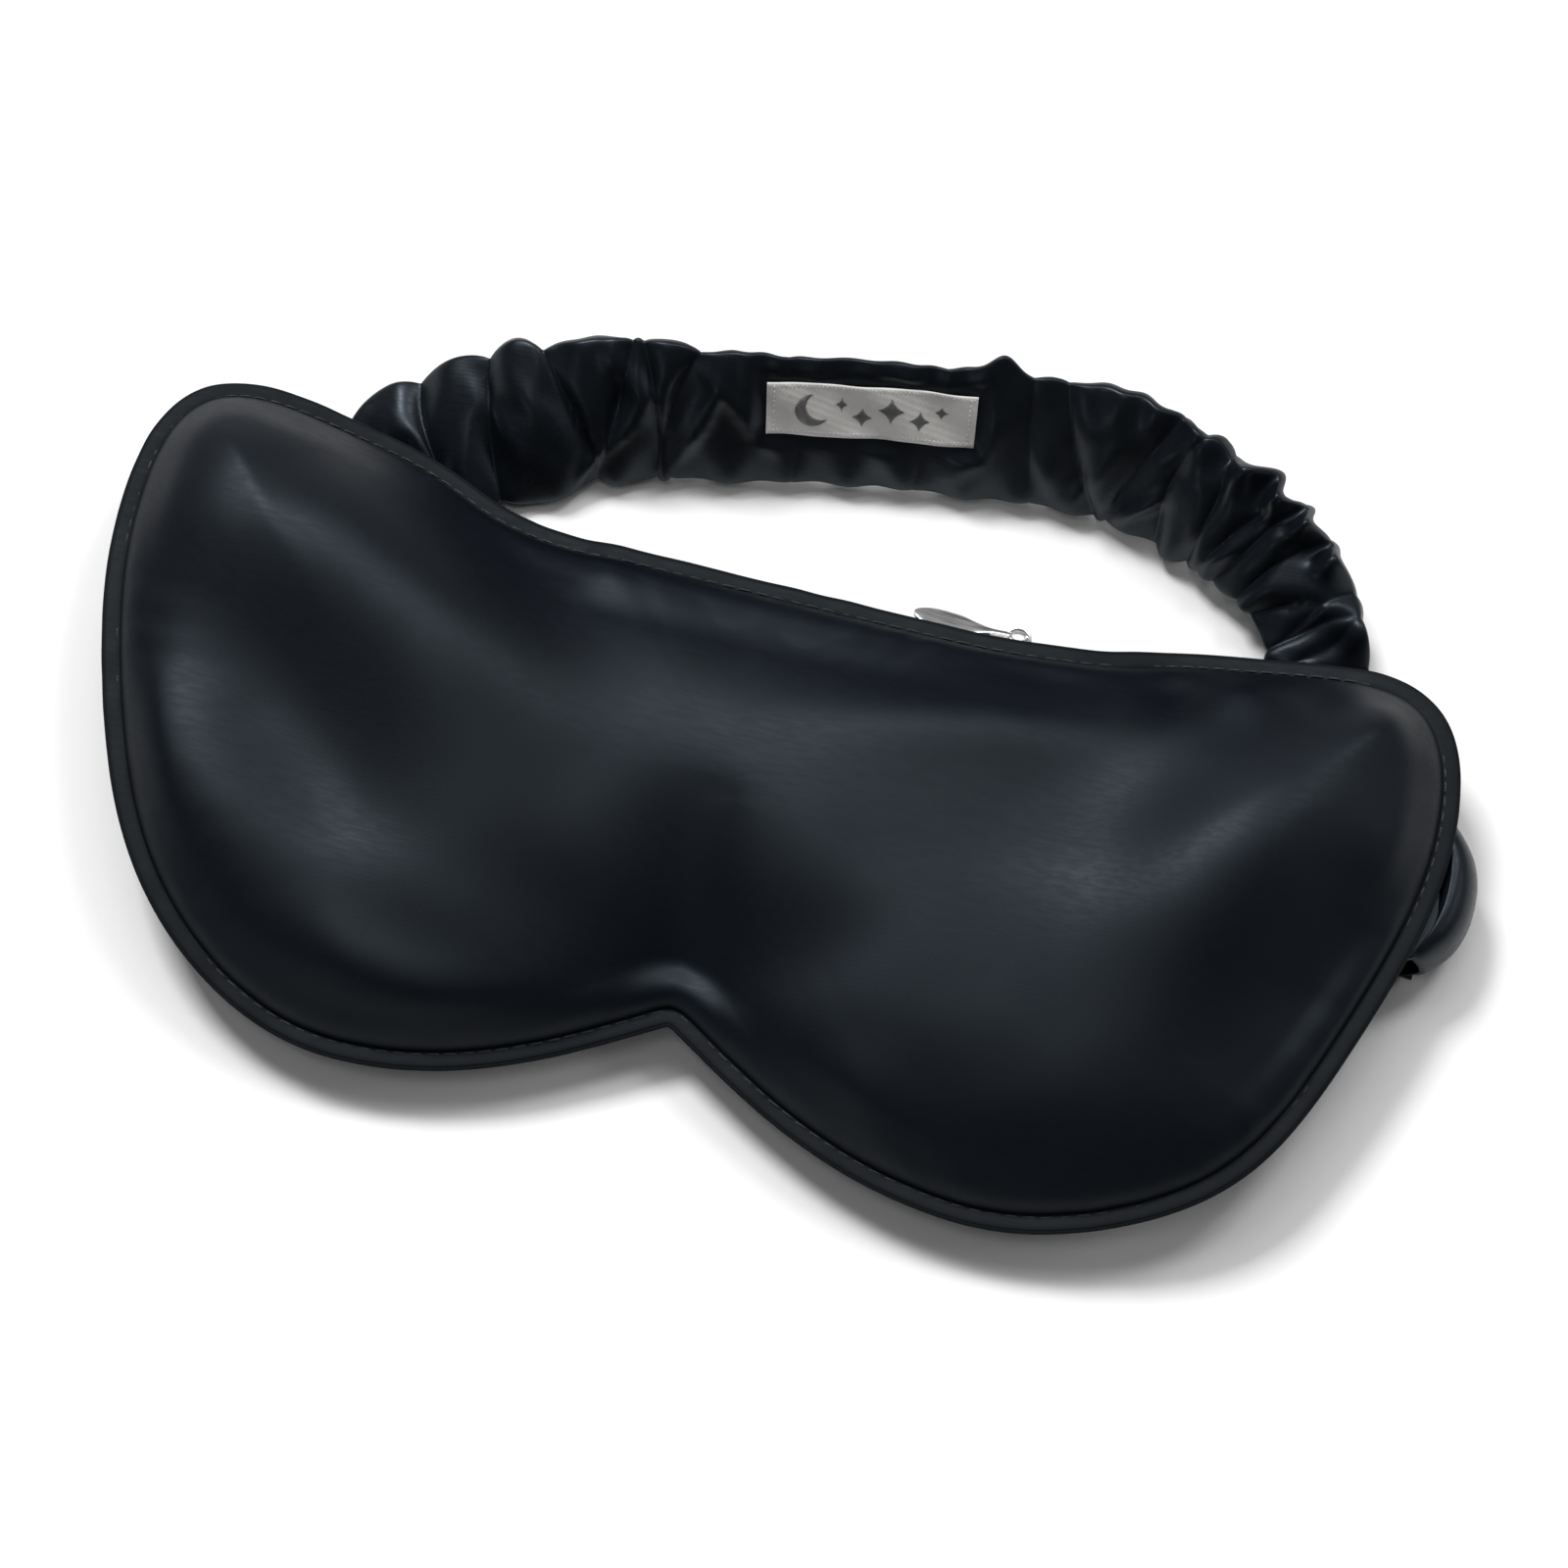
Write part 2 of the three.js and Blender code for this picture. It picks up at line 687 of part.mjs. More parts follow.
addCover();
addInsert();
addBinding();
addTapes();
addCoils();
addStops();
addSlider();
addPull();
addStrap();
addStrapTabs();
addLabel();

export default part;
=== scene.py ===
"""Looks of the satin sleep mask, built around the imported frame. Lengths named _mm are millimetres."""
import json
import math

import bpy
import numpy as np
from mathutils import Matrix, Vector, geometry


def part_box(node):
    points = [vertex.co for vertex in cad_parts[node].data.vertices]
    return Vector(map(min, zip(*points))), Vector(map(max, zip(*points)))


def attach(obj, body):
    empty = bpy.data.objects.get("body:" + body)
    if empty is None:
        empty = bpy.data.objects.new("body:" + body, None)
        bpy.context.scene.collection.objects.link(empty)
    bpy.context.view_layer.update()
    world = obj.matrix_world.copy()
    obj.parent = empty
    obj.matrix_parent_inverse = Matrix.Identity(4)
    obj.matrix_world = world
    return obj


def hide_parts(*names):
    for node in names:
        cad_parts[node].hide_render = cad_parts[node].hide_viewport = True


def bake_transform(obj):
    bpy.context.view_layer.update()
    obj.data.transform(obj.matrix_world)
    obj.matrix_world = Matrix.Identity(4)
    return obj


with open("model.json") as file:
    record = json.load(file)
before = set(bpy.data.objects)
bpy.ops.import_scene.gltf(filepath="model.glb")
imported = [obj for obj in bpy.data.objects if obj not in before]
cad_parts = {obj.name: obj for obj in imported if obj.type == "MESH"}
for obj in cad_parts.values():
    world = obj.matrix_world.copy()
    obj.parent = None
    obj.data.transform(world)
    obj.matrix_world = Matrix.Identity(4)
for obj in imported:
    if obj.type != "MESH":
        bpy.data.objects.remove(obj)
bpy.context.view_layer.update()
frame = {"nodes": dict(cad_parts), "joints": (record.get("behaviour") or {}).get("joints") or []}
MM = 0.001
rng = np.random.default_rng(7)

# ---------------------------------------------------------------- sizes, as the frame has them

half_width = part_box("edge_binding")[1].x / MM
panel_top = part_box("front_panel")[1].z / MM
brow_y, shoulder_y, shoulder_x = 37.8, 48.5, 86.0
end_y, lobe_x, lobe_y, notch_y, brow_flat = 22.0, 46.0, -50.0, -32.8, 44.0
seam_height, end_lift, lift_start = 8.0, 6.0, 50.0
front_crown, back_crown, lip_rise = panel_top - seam_height - 0.75, 7.3, 0.35
seam_inset = 2.7
front_slope, back_slope = 36.0, 21.0
zip_left, zip_right = -26.0, 42.0
lip_gap, coil_gap, slider_x, slider_travel = 2.75, 1.6, 35.0, 54.0
tilt = math.radians(15)
strap_width, strap_thickness, ground = 24.0, 3.0, 0.3
sewn_x = half_width + 0.6
strap_end_y, strap_reach, strap_lean, fold_reach = 15.0, 55.8, 36.0, 3.4


def smooth(x, a, b):
    t = np.clip((np.asarray(x, float) - a) / (b - a), 0, 1)
    return t * t * (3 - 2 * t)


# ---------------------------------------------------------------- the mask's outline

def catmull(points, count):
    """Points evenly spaced on a centripetal Catmull-Rom line."""
    p = np.array(points, float)
    p = np.vstack([2 * p[0] - p[1], p, 2 * p[-1] - p[-2]])
    out = []
    for i in range(1, len(p) - 2):
        p0, p1, p2, p3 = p[i - 1:i + 3]
        d0, d1, d2 = (max(np.linalg.norm(b - a) ** 0.5, 1e-6) for a, b in ((p0, p1), (p1, p2), (p2, p3)))
        t1 = ((p1 - p0) / d0 - (p2 - p0) / (d0 + d1) + (p2 - p1) / d1) * d1
        t2 = ((p2 - p1) / d1 - (p3 - p1) / (d1 + d2) + (p3 - p2) / d2) * d1
        t = np.linspace(0, 1, 60, endpoint=False)[:, None]
        out.append(p1 + t1 * t + (-3 * p1 + 3 * p2 - 2 * t1 - t2) * t**2 + (2 * p1 - 2 * p2 + t1 + t2) * t**3)
    line = np.vstack(out + [p[-2:-1]])
    s = np.r_[0, np.cumsum(np.linalg.norm(np.diff(line, axis=0), axis=1))]
    want = np.linspace(0, s[-1], count)
    return np.stack([np.interp(want, s, line[:, k]) for k in range(line.shape[1])], 1), s[-1]


def bezier(points, steps):
    a, b, c, d = (np.array(p, float) for p in points)
    t = np.linspace(0, 1, steps + 1)[1:, None]
    return (1 - t) ** 3 * a + 3 * (1 - t) ** 2 * t * b + 3 * (1 - t) * t**2 * c + t**3 * d


def make_outline(count):
    """Points evenly spaced round the flat outline, and its length."""
    h = half_width
    brow, shoulder = (brow_flat, brow_y), (shoulder_x, shoulder_y)
    half = np.vstack([
        bezier([brow, (brow_flat + 12, brow_y), (shoulder_x - 16, shoulder_y), shoulder], 60),
        bezier([shoulder, (shoulder_x + 13.5, shoulder_y), (h, end_y + 17), (h, end_y)], 60),
        bezier([(h, end_y), (h, end_y - 30), (lobe_x + 32, lobe_y), (lobe_x, lobe_y)], 120),
        bezier([(lobe_x, lobe_y), (lobe_x - 20, lobe_y), (10.3, notch_y - 6.1), (0, notch_y)], 70),
    ])
    top = np.c_[np.linspace(-brow_flat, brow_flat, 90), np.full(90, brow_y)]
    left = half[:-1][::-1] * [-1, 1]
    loop = np.vstack([top, half, left])[::-1]
    closed = np.vstack([loop, loop[:1]])
    along = np.r_[0, np.cumsum(np.linalg.norm(np.diff(closed, axis=0), axis=1))]
    s = np.linspace(0, along[-1], count, endpoint=False)
    return np.c_[np.interp(s, along, closed[:, 0]), np.interp(s, along, closed[:, 1])], along[-1]


def slumped(points):
    """The soft outline as it lies: fuller at the lower right and drawn in at the left end.

    Each move is a centre, the distance over which it fades, and how far it goes there."""
    out = points.copy()
    for centre, reach, move in (
        ((88, -36), 24, (3.6, -4.4)),
        ((62, -52), 22, (0.6, -1.0)),
        ((-106, 20), 30, (3.4, 0.2)),
        ((-104, -12), 26, (2.6, 0.6)),
        ((-84, 52), 22, (1.0, 0.4)),
        ((84, 52), 24, (-0.8, -2.6)),
        ((55, 40), 15, (0.0, 2.6)),
        ((-56, 41), 16, (0.8, 3.8)),
    ):
        near = np.exp(-(((points - centre) ** 2).sum(1)) / reach**2)
        out += near[:, None] * move
    return out


OUTLINE_POINTS = 640
outline, outline_length = make_outline(OUTLINE_POINTS)
outline = slumped(outline)


def soften(values, passes):
    for _ in range(passes):
        values = 0.25 * np.roll(values, 1, 0) + 0.5 * values + 0.25 * np.roll(values, -1, 0)
    return values


def inward_normals():
    along = np.roll(outline, -1, 0) - np.roll(outline, 1, 0)
    normal = np.c_[-along[:, 1], along[:, 0]]
    normal = soften(normal / np.linalg.norm(normal, axis=1)[:, None], 2)
    return normal / np.linalg.norm(normal, axis=1)[:, None]


normals = inward_normals()


def distance_to_edge(points):
    a, b = outline, np.roll(outline, -1, 0)
    d = b - a
    least = np.full(len(points), 1e9)
    for start in range(0, len(a), 160):
        aa, dd = a[start:start + 160], d[start:start + 160]
        rel = points[:, None, :] - aa[None]
        t = np.clip((rel * dd).sum(2) / (dd * dd).sum(1), 0, 1)
        least = np.minimum(least, np.linalg.norm(rel - t[..., None] * dd, axis=2).min(1))
    return least


# ---------------------------------------------------------------- heights of the two faces

def seam_z(x):
    return seam_height + end_lift * smooth(np.abs(x), lift_start, half_width)


def puff(inside, slope):
    share = np.clip((inside - seam_inset) / slope, 0, 1)
    return (1 - (1 - share) ** 2.4) ** 0.62


def mouth(x, y, inside):
    """Half the gap between the zip's two lips: wide all along the slider's way, closing past it."""
    along = smooth(x, zip_left - 16, zip_left) * (1 - smooth(x, zip_right, zip_right + 18))
    wide = smooth(x, slider_x - slider_travel - 14, slider_x - slider_travel - 6)
    return (coil_gap + (lip_gap - coil_gap) * wide) * along * (1 - smooth(inside, 2.5, 14)) * (y > 0)


def stroke(points, path, width, amount):
    """A soft ridge (or valley, if amount is below 0) along a smooth path, fading at its ends."""
    line, length = catmull(path, 41)
    t = np.linspace(0, 1, 41)
    weight = smooth(t, -0.02, 0.5) * (1 - smooth(t, 0.55, 1.02))
    step = length / 40
    d2 = ((points[:, None] - line[None]) ** 2).sum(2)
    return 1.25 * amount * step / (math.sqrt(math.pi) * width) * (weight * np.exp(-d2 / width**2)).sum(1)


FRONT_FOLDS = [
    # path, width and height of each fold: ridges are above 0, valleys below
    ([(88, 40), (84, 26), (76, 11), (64, -2), (46, -12)], 13.0, 4.4),
    ([(72, 36), (62, 23), (50, 12), (36, 4), (22, 2)], 10.0, -0.9),
    ([(101, 26), (96, 10), (90, -4), (82, -18), (68, -30)], 10.0, -2.6),
    ([(99, 28), (97, 16), (93, 4)], 6.0, 1.8),
    ([(2, 12), (20, 18), (38, 23), (52, 25), (62, 22)], 7.5, 1.7),
    ([(20, 31), (40, 33), (58, 34)], 5.0, -1.0),
    ([(-98, 22), (-80, 27), (-62, 22), (-46, 12), (-32, 0), (-24, -10)], 14.0, 5.0),
    ([(-66, 40), (-48, 34), (-32, 24), (-20, 12)], 9.0, -1.6),
    ([(-104, 16), (-90, 12), (-74, 1), (-60, -11), (-46, -21), (-28, -26)], 11.0, -2.4),
    ([(-100, 4), (-92, -8), (-80, -20), (-66, -30)], 9.0, 1.6),
    ([(-64, -33), (-42, -40), (-20, -38), (-10, -33)], 6.0, 1.8),
    ([(-2, 4), (-3, -10), (-1, -24), (0, -42)], 8.0, -3.2),
    ([(0, -34), (12, -22), (28, -16)], 9.0, -2.0),
    ([(-4, -32), (-20, -23), (-36, -20)], 8.0, -1.5),
    ([(58, 43), (60, 36), (58, 28)], 4.2, -1.8),
    ([(69, 45), (70, 37), (69, 30)], 4.2, 1.5),
    ([(80, 46), (81, 39), (80, 32)], 4.4, -1.9),
    ([(93, 41), (91, 34), (87, 28)], 4.6, 1.4),
    ([(44, -46), (30, -40), (18, -33)], 7.0, 1.8),
]


def front_folds(points):
    total = np.zeros(len(points))
    for path, width, amount in FRONT_FOLDS:
        total += stroke(points, path, width, amount)
    return total


def seam_puckers(points, inside, seed, reach=4.5, amount=0.14):
    """Small gathers that start at the seam and die out inside, made of a few waves round the edge."""
    wave_rng = np.random.default_rng(seed)
    angle = np.arctan2(points[:, 1] - 2, points[:, 0] * 0.6)
    total = np.zeros(len(points))
    for k in range(14):
        turns = int(wave_rng.integers(26, 74))
        total += np.cos(turns * angle + wave_rng.uniform(0, 6.28)) * wave_rng.uniform(0.4, 1)
    patch = 0.45 + 0.55 * np.cos(5 * angle + seed) ** 2
    past_seam = np.clip(inside - seam_inset, 0, None)
    edge = np.exp(-past_seam / reach) * smooth(past_seam, 0, 2.5)
    return amount * patch * edge * total / 2.4


# ---------------------------------------------------------------- mesh helpers

def add_mesh(name, verts_mm, faces, material=None, smooth_shade=True):
    mesh = bpy.data.meshes.new(name)
    mesh.from_pydata((np.asarray(verts_mm, float) * MM).tolist(), [], [list(map(int, f)) for f in faces])
    mesh.update()
    obj = bpy.data.objects.new(name, mesh)
    bpy.context.collection.objects.link(obj)
    if smooth_shade:
        mesh.polygons.foreach_set("use_smooth", [True] * len(mesh.polygons))
    if material:
        mesh.materials.append(material)
    return obj


def grid_faces(rows, cols, start=0, close_cols=True, close_rows=False, flip=False):
    r = np.arange(rows if close_rows else rows - 1)
    c = np.arange(cols if close_cols else cols - 1)
    rr, cc = np.meshgrid(r, c, indexing="ij")
    a = start + rr * cols + cc
    b = start + rr * cols + (cc + 1) % cols
    d = start + ((rr + 1) % rows) * cols + (cc + 1) % cols
    e = start + ((rr + 1) % rows) * cols + cc
    quads = np.stack([a, b, d, e], -1).reshape(-1, 4)
    return quads[:, ::-1] if flip else quads


def sweep_mm(middles, wides, thicks, section, closed=False, caps=True):
    """Vertices and faces of a section (list of across, thick pairs) swept along frames."""
    section = np.asarray(section, float)
    if section.ndim == 2:
        section = np.broadcast_to(section, (len(middles),) + section.shape)
    verts = middles[:, None] + wides[:, None] * section[..., :1] + thicks[:, None] * section[..., 1:]
    rows, cols = verts.shape[:2]
    faces = [list(q) for q in grid_faces(rows, cols, close_rows=closed)]
    if caps and not closed:
        faces.append(list(range(cols))[::-1])
        faces.append([(rows - 1) * cols + i for i in range(cols)])
    return verts.reshape(-1, 3), faces


def circle(radius, count):
    turns = np.linspace(0, 2 * np.pi, count, endpoint=False)
    return [(radius * math.cos(a), radius * math.sin(a)) for a in turns]


def thread_along(middles, radius):
    """A six-sided thread along a nearly level line."""
    forward = np.gradient(middles, axis=0)
    forward /= np.linalg.norm(forward, axis=1)[:, None]
    wide = np.cross(forward, [0, 0, 1])
    wide /= np.linalg.norm(wide, axis=1)[:, None]
    return sweep_mm(middles, wide, np.cross(wide, forward), circle(radius, 6))


# ---------------------------------------------------------------- materials

def new_material(name):
    mat = bpy.data.materials.new(name)
    mat.use_nodes = True
    nodes, links = mat.node_tree.nodes, mat.node_tree.links
    shader = nodes["Principled BSDF"]
    place = nodes.new("ShaderNodeTexCoord")
    return mat, nodes, links, shader, place.outputs["Object"]


def noise(nodes, links, place, scale, detail=3.0, stretch=None):
    if stretch:
        mapping = nodes.new("ShaderNodeMapping")
        mapping.inputs["Scale"].default_value = stretch
        links.new(place, mapping.inputs["Vector"])
        place = mapping.outputs["Vector"]
    tex = nodes.new("ShaderNodeTexNoise")
    tex.inputs["Scale"].default_value = scale
    tex.inputs["Detail"].default_value = detail
    links.new(place, tex.inputs["Vector"])
    return tex.outputs["Fac"]


def ramp(nodes, links, value, low, high, a=0.35, b=0.65):
    node = nodes.new("ShaderNodeValToRGB")
    node.color_ramp.elements[0].position = a
    node.color_ramp.elements[1].position = b
    node.color_ramp.elements[0].color = low
    node.color_ramp.elements[1].color = high
    links.new(value, node.inputs["Fac"])
    return node.outputs["Color"]


def weave(nodes, links, place, per_metre, turn=0.0):
    """Height of a fine weave: warp and weft ribs crossing, from two wave textures."""
    mapping = nodes.new("ShaderNodeMapping")
    mapping.inputs["Rotation"].default_value = (0, 0, turn)
    links.new(place, mapping.inputs["Vector"])
    made = []
    for axis, scale in (("X", per_metre), ("Y", per_metre * 0.62)):
        wave = nodes.new("ShaderNodeTexWave")
        wave.bands_direction = axis
        wave.inputs["Scale"].default_value = scale / 6.2832
        wave.inputs["Distortion"].default_value = 0.6
        wave.inputs["Detail"].default_value = 1
        links.new(mapping.outputs["Vector"], wave.inputs["Vector"])
        made.append(wave.outputs["Fac"])
    mix = nodes.new("ShaderNodeMath")
    mix.operation = "MULTIPLY"
    links.new(made[0], mix.inputs[0])
    links.new(made[1], mix.inputs[1])
    return mix.outputs[0]


def bump(nodes, links, height, distance, strength=1.0, under=None):
    node = nodes.new("ShaderNodeBump")
    node.inputs["Distance"].default_value = distance
    node.inputs["Strength"].default_value = strength
    links.new(height, node.inputs["Height"])
    if under is not None:
        links.new(under, node.inputs["Normal"])
    return node.outputs["Normal"]


SATIN_THREADS = 5200  # per metre


def satin(name, dark, light, rough, sheen, specular, grain=0.00002):
    """Smooth satin: a clouded colour, slubs along the weft and a fine weave grain metres high."""
    mat, nodes, links, shader, place = new_material(name)
    cloud = noise(nodes, links, place, 26, 3)
    links.new(ramp(nodes, links, cloud, dark, light), shader.inputs["Base Color"])
    slub = noise(nodes, links, place, 1500, 2, (0.2, 1, 1))
    low, high = (rough[0],) * 3 + (1,), (rough[1],) * 3 + (1,)
    links.new(ramp(nodes, links, slub, low, high), shader.inputs["Roughness"])
    threads = bump(nodes, links, weave(nodes, links, place, SATIN_THREADS), grain, 0.3)
    links.new(bump(nodes, links, slub, grain, 0.25, threads), shader.inputs["Normal"])
    shader.inputs["Specular Tint"].default_value = (0.74, 0.87, 1.0, 1)
    shader.inputs["Sheen Weight"].default_value = sheen
    shader.inputs["Sheen Roughness"].default_value = 0.4
    shader.inputs["Sheen Tint"].default_value = (0.62, 0.70, 0.82, 1)
    shader.inputs["Specular IOR Level"].default_value = specular
    shader.inputs["Anisotropic"].default_value = 0.2
    return mat


def metal(name, colour, rough):
    """Brushed metal with faint blotches."""
    mat, nodes, links, shader, place = new_material(name)
    brushed = noise(nodes, links, place, 2600, 3, (0.08, 1, 1))
    blotch = noise(nodes, links, place, 420, 2)
    shade = tuple(c * 0.82 for c in colour) + (1,)
    links.new(ramp(nodes, links, blotch, shade, colour + (1,)), shader.inputs["Base Color"])
    low, high = (rough[0],) * 3 + (1,), (rough[1],) * 3 + (1,)
    links.new(ramp(nodes, links, brushed, low, high), shader.inputs["Roughness"])
    links.new(bump(nodes, links, brushed, 0.00003, 0.4), shader.inputs["Normal"])
    shader.inputs["Metallic"].default_value = 1
    return mat


def woven(name, dark, light, per_metre, depth, rough=0.8, sheen=0.2):
    """Plain woven thread or ribbon, with ribs depth metres high and a little fuzz."""
    mat, nodes, links, shader, place = new_material(name)
    cloud = noise(nodes, links, place, 160, 4)
    links.new(ramp(nodes, links, cloud, dark, light), shader.inputs["Base Color"])
    fuzz = noise(nodes, links, place, 1400, 3)
    ribs = bump(nodes, links, weave(nodes, links, place, per_metre), depth, 0.8)
    links.new(bump(nodes, links, fuzz, depth * 0.5, 0.5, ribs), shader.inputs["Normal"])
    low, high = (rough - 0.08,) * 3 + (1,), (rough + 0.06,) * 3 + (1,)
    links.new(ramp(nodes, links, fuzz, low, high), shader.inputs["Roughness"])
    shader.inputs["Sheen Weight"].default_value = sheen
    return mat


black_satin = satin(
    "black_satin", (0.0013, 0.0024, 0.0044, 1), (0.0020, 0.0032, 0.0056, 1), (0.47, 0.52), 0.0, 0.22, 0.000008
)
edge_satin = satin(
    "edge_satin", (0.0056, 0.0062, 0.0070, 1), (0.0086, 0.0092, 0.0102, 1), (0.56, 0.62), 0.03, 0.13
)
# painted shade: a darker, duller copy of the edge satin that draws the dark outline along the flange's outer
# rounded edge
shaded_edge_satin = satin(
    "shaded_edge_satin", (0.0040, 0.0048, 0.0060, 1), (0.0052, 0.0060, 0.0074, 1), (0.6, 0.66), 0.0, 0.1
)
strap_satin = satin(
    "strap_satin", (0.0026, 0.0037, 0.0056, 1), (0.0038, 0.0050, 0.0072, 1), (0.36, 0.42), 0.01, 0.32
)
nickel = metal("satin_nickel", (0.92, 0.92, 0.92), (0.30, 0.42))
dark_thread = woven("sewing_thread", (0.008, 0.009, 0.011, 1), (0.014, 0.016, 0.019, 1), 9000, 0.00005, 0.55)
tape_cloth = woven("zip_tape", (0.008, 0.009, 0.011, 1), (0.014, 0.015, 0.018, 1), 2600, 0.00012)
coil_nylon = satin("zip_coil", (0.008, 0.009, 0.010, 1), (0.012, 0.013, 0.014, 1), (0.3, 0.4), 0.0, 0.26)
silver_ribbon = woven(
    "label_ribbon", (0.66, 0.645, 0.615, 1), (0.80, 0.79, 0.77, 1), 4200, 0.00004, 0.42, 0.3
)
selvedge = woven("label_selvedge", (0.58, 0.57, 0.55, 1), (0.76, 0.75, 0.73, 1), 5200, 0.00006, 0.6, 0.1)
motif_thread = woven("motif_thread", (0.06, 0.06, 0.065, 1), (0.10, 0.10, 0.105, 1), 7000, 0.00005, 0.5, 0.1)


# ---------------------------------------------------------------- the pad: the cover's two faces

CENTRE = np.array([0.0, 2.0])
RINGS = 58
SIMULATED_FRAMES = 20
START_SHARE = 0.86  # of each face's full height, before the pressure swells it
FRONT_WRINKLE, BACK_WRINKLE, MOST_WRINKLE = 0.22, 0.7, 2.2


def simulated_wrinkles():
    """Swells a two-faced cloth pad under pressure, and returns each face's points and heights."""
    spacing = 2.9
    rim = slumped(make_outline(190)[0])
    nearest = [int(np.argmin(np.hypot(*(outline - p).T))) for p in rim]
    rim = rim + normals[nearest] * seam_inset
    xs = np.arange(-half_width, half_width, spacing)
    ys = np.arange(-52, 52, spacing * 0.866)
    cells = [(x + (spacing / 2 if j % 2 else 0), y) for j, y in enumerate(ys) for x in xs]
    cells = np.array(cells)
    inner = cells[inside_polygon(cells, outline)]
    inner = inner[distance_to_edge(inner) > seam_inset + spacing * 0.7]
    n = len(rim)
    flat = [Vector(p) for p in np.vstack([rim, inner])]
    edges = [(i, (i + 1) % n) for i in range(n)]
    verts2, _, tris, *_ = geometry.delaunay_2d_cdt(flat, edges, [], 1, 1e-6)
    p = np.array([tuple(v) for v in verts2])
    tris = [t for t in tris if len(t) == 3]
    depth = distance_to_edge(p)
    on_rim = depth < seam_inset + 0.3
    base = seam_z(p[:, 0])
    front = base + START_SHARE * front_crown * puff(depth, front_slope)
    back = base - START_SHARE * 7.0 * puff(depth, back_slope)
    index_back = np.arange(len(p))
    index_back[~on_rim] = len(p) + np.arange((~on_rim).sum())
    verts = np.vstack([np.c_[p, front], np.c_[p[~on_rim], back[~on_rim]]])
    verts[np.flatnonzero(on_rim), 2] = base[on_rim]
    faces = [list(t) for t in tris] + [[int(index_back[i]) for i in t][::-1] for t in tris]
    pad = add_mesh("swelling_pad", verts, faces)
    group = pad.vertex_groups.new(name="rim")
    group.add([int(i) for i in np.flatnonzero(on_rim)], 1.0, "REPLACE")
    cloth = pad.modifiers.new("Cloth", "CLOTH")
    s = cloth.settings
    s.quality = 6
    s.mass = 0.12
    s.use_pressure = True
    s.uniform_pressure_force = 3.2
    s.shrink_min = -0.035
    s.tension_stiffness = 22
    s.compression_stiffness = 18
    s.shear_stiffness = 6
    s.bending_stiffness = 0.35
    s.effector_weights.gravity = 0
    s.vertex_group_mass = "rim"
    cloth.collision_settings.use_collision = False
    cloth.point_cache.frame_start = 1
    cloth.point_cache.frame_end = SIMULATED_FRAMES
    for f in range(1, SIMULATED_FRAMES + 1):
        bpy.context.scene.frame_set(f)
    shaped = pad.evaluated_get(bpy.context.evaluated_depsgraph_get()).to_mesh()
    after = np.empty(len(shaped.vertices) * 3)
    shaped.vertices.foreach_get("co", after)
    after = after.reshape(-1, 3) / MM
    bpy.context.scene.frame_set(1)
    bpy.data.objects.remove(pad)
    front_after = after[:len(p)]
    back_after = after[index_back]
    return [(q[:, :2], q[:, 2]) for q in (front_after, back_after)]


def inside_polygon(points, polygon):
    x, y = points[:, 0], points[:, 1]
    hit = np.zeros(len(points), bool)
    a, b = polygon, np.roll(polygon, -1, 0)
    for (ax, ay), (bx, by) in zip(a, b):
        cross = (ay > y) != (by > y)
        if cross.any():
            at = ax + (y - ay) * (bx - ax) / (by - ay + 1e-12)
            hit ^= cross & (x < at)
    return hit


def blurred(points, source, values, radius):
    """Gaussian-weighted mean of values near each point."""
    out = np.empty(len(points))
    for start in range(0, len(points), 2000):
        block = points[start:start + 2000]
        d2 = ((block[:, None] - source[None]) ** 2).sum(2)
        w = np.exp(-d2 / (2 * radius * radius)) + 1e-12
        out[start:start + 2000] = (w * values).sum(1) / w.sum(1)
    return out


def pad_points():
    """Rings of points from the middle out to the seam, closer together near it."""
    rim = outline + normals * seam_inset
    t = np.linspace(0, 1, RINGS + 1)[1:]
    share = 1 - (1 - t) ** 1.55
    return CENTRE + share[:, None, None] * (rim - CENTRE)[None]


def build_pad():
    """Both faces of the cover as one stuffed form, closed round the seam."""
    rings = pad_points()
    flat = rings.reshape(-1, 2)
    inside = distance_to_edge(flat)
    inside[-OUTLINE_POINTS:] = seam_inset
    gap = mouth(flat[:, 0], flat[:, 1], inside)
    base = seam_z(flat[:, 0])
    front = base + lip_rise + gap + front_crown * puff(inside, front_slope)
    back = base - lip_rise - gap - back_crown * puff(inside, back_slope)
    hold = smooth(inside, seam_inset, seam_inset + 6)
    front += front_folds(flat) * smooth(inside, seam_inset, seam_inset + 7)
    front += seam_puckers(flat, inside, 3)
    back += seam_puckers(flat, inside, 11, 7, 0.3)
    for face, (where, height) in enumerate(simulated_wrinkles()):
        detail = blurred(flat, where, height, 2.4) - blurred(flat, where, height, 10.0)
        detail = np.clip(detail, -MOST_WRINKLE, MOST_WRINKLE) * hold
        if face == 0:
            front += FRONT_WRINKLE * detail
        else:
            back += BACK_WRINKLE * detail
    back = np.maximum(back, back_floor(flat))
    middles = [(*CENTRE, face[:OUTLINE_POINTS].mean()) for face in (front, back)]
    verts = np.vstack([middles, np.c_[flat, front], np.c_[flat, back]])
    n, m = OUTLINE_POINTS, RINGS
    top, low = 2, 2 + n * m
    faces = [list(f) for f in grid_faces(m, n, top, flip=True)] + [list(f) for f in grid_faces(m, n, low)]
    for i in range(n):
        j = (i + 1) % n
        faces.append([0, top + i, top + j])
        faces.append([1, low + j, low + i])
        a, b = top + (m - 1) * n + i, top + (m - 1) * n + j
        c, d = low + (m - 1) * n + i, low + (m - 1) * n + j
        faces.append([a, c, d, b])
    pad = add_mesh("satin_cover", verts, faces, black_satin)
    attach(pad, "mask")
    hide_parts("front_panel", "back_panel", "insert_cover_front", "insert_cover_back", "insert_fill")


# ---------------------------------------------------------------- strap's line and frames

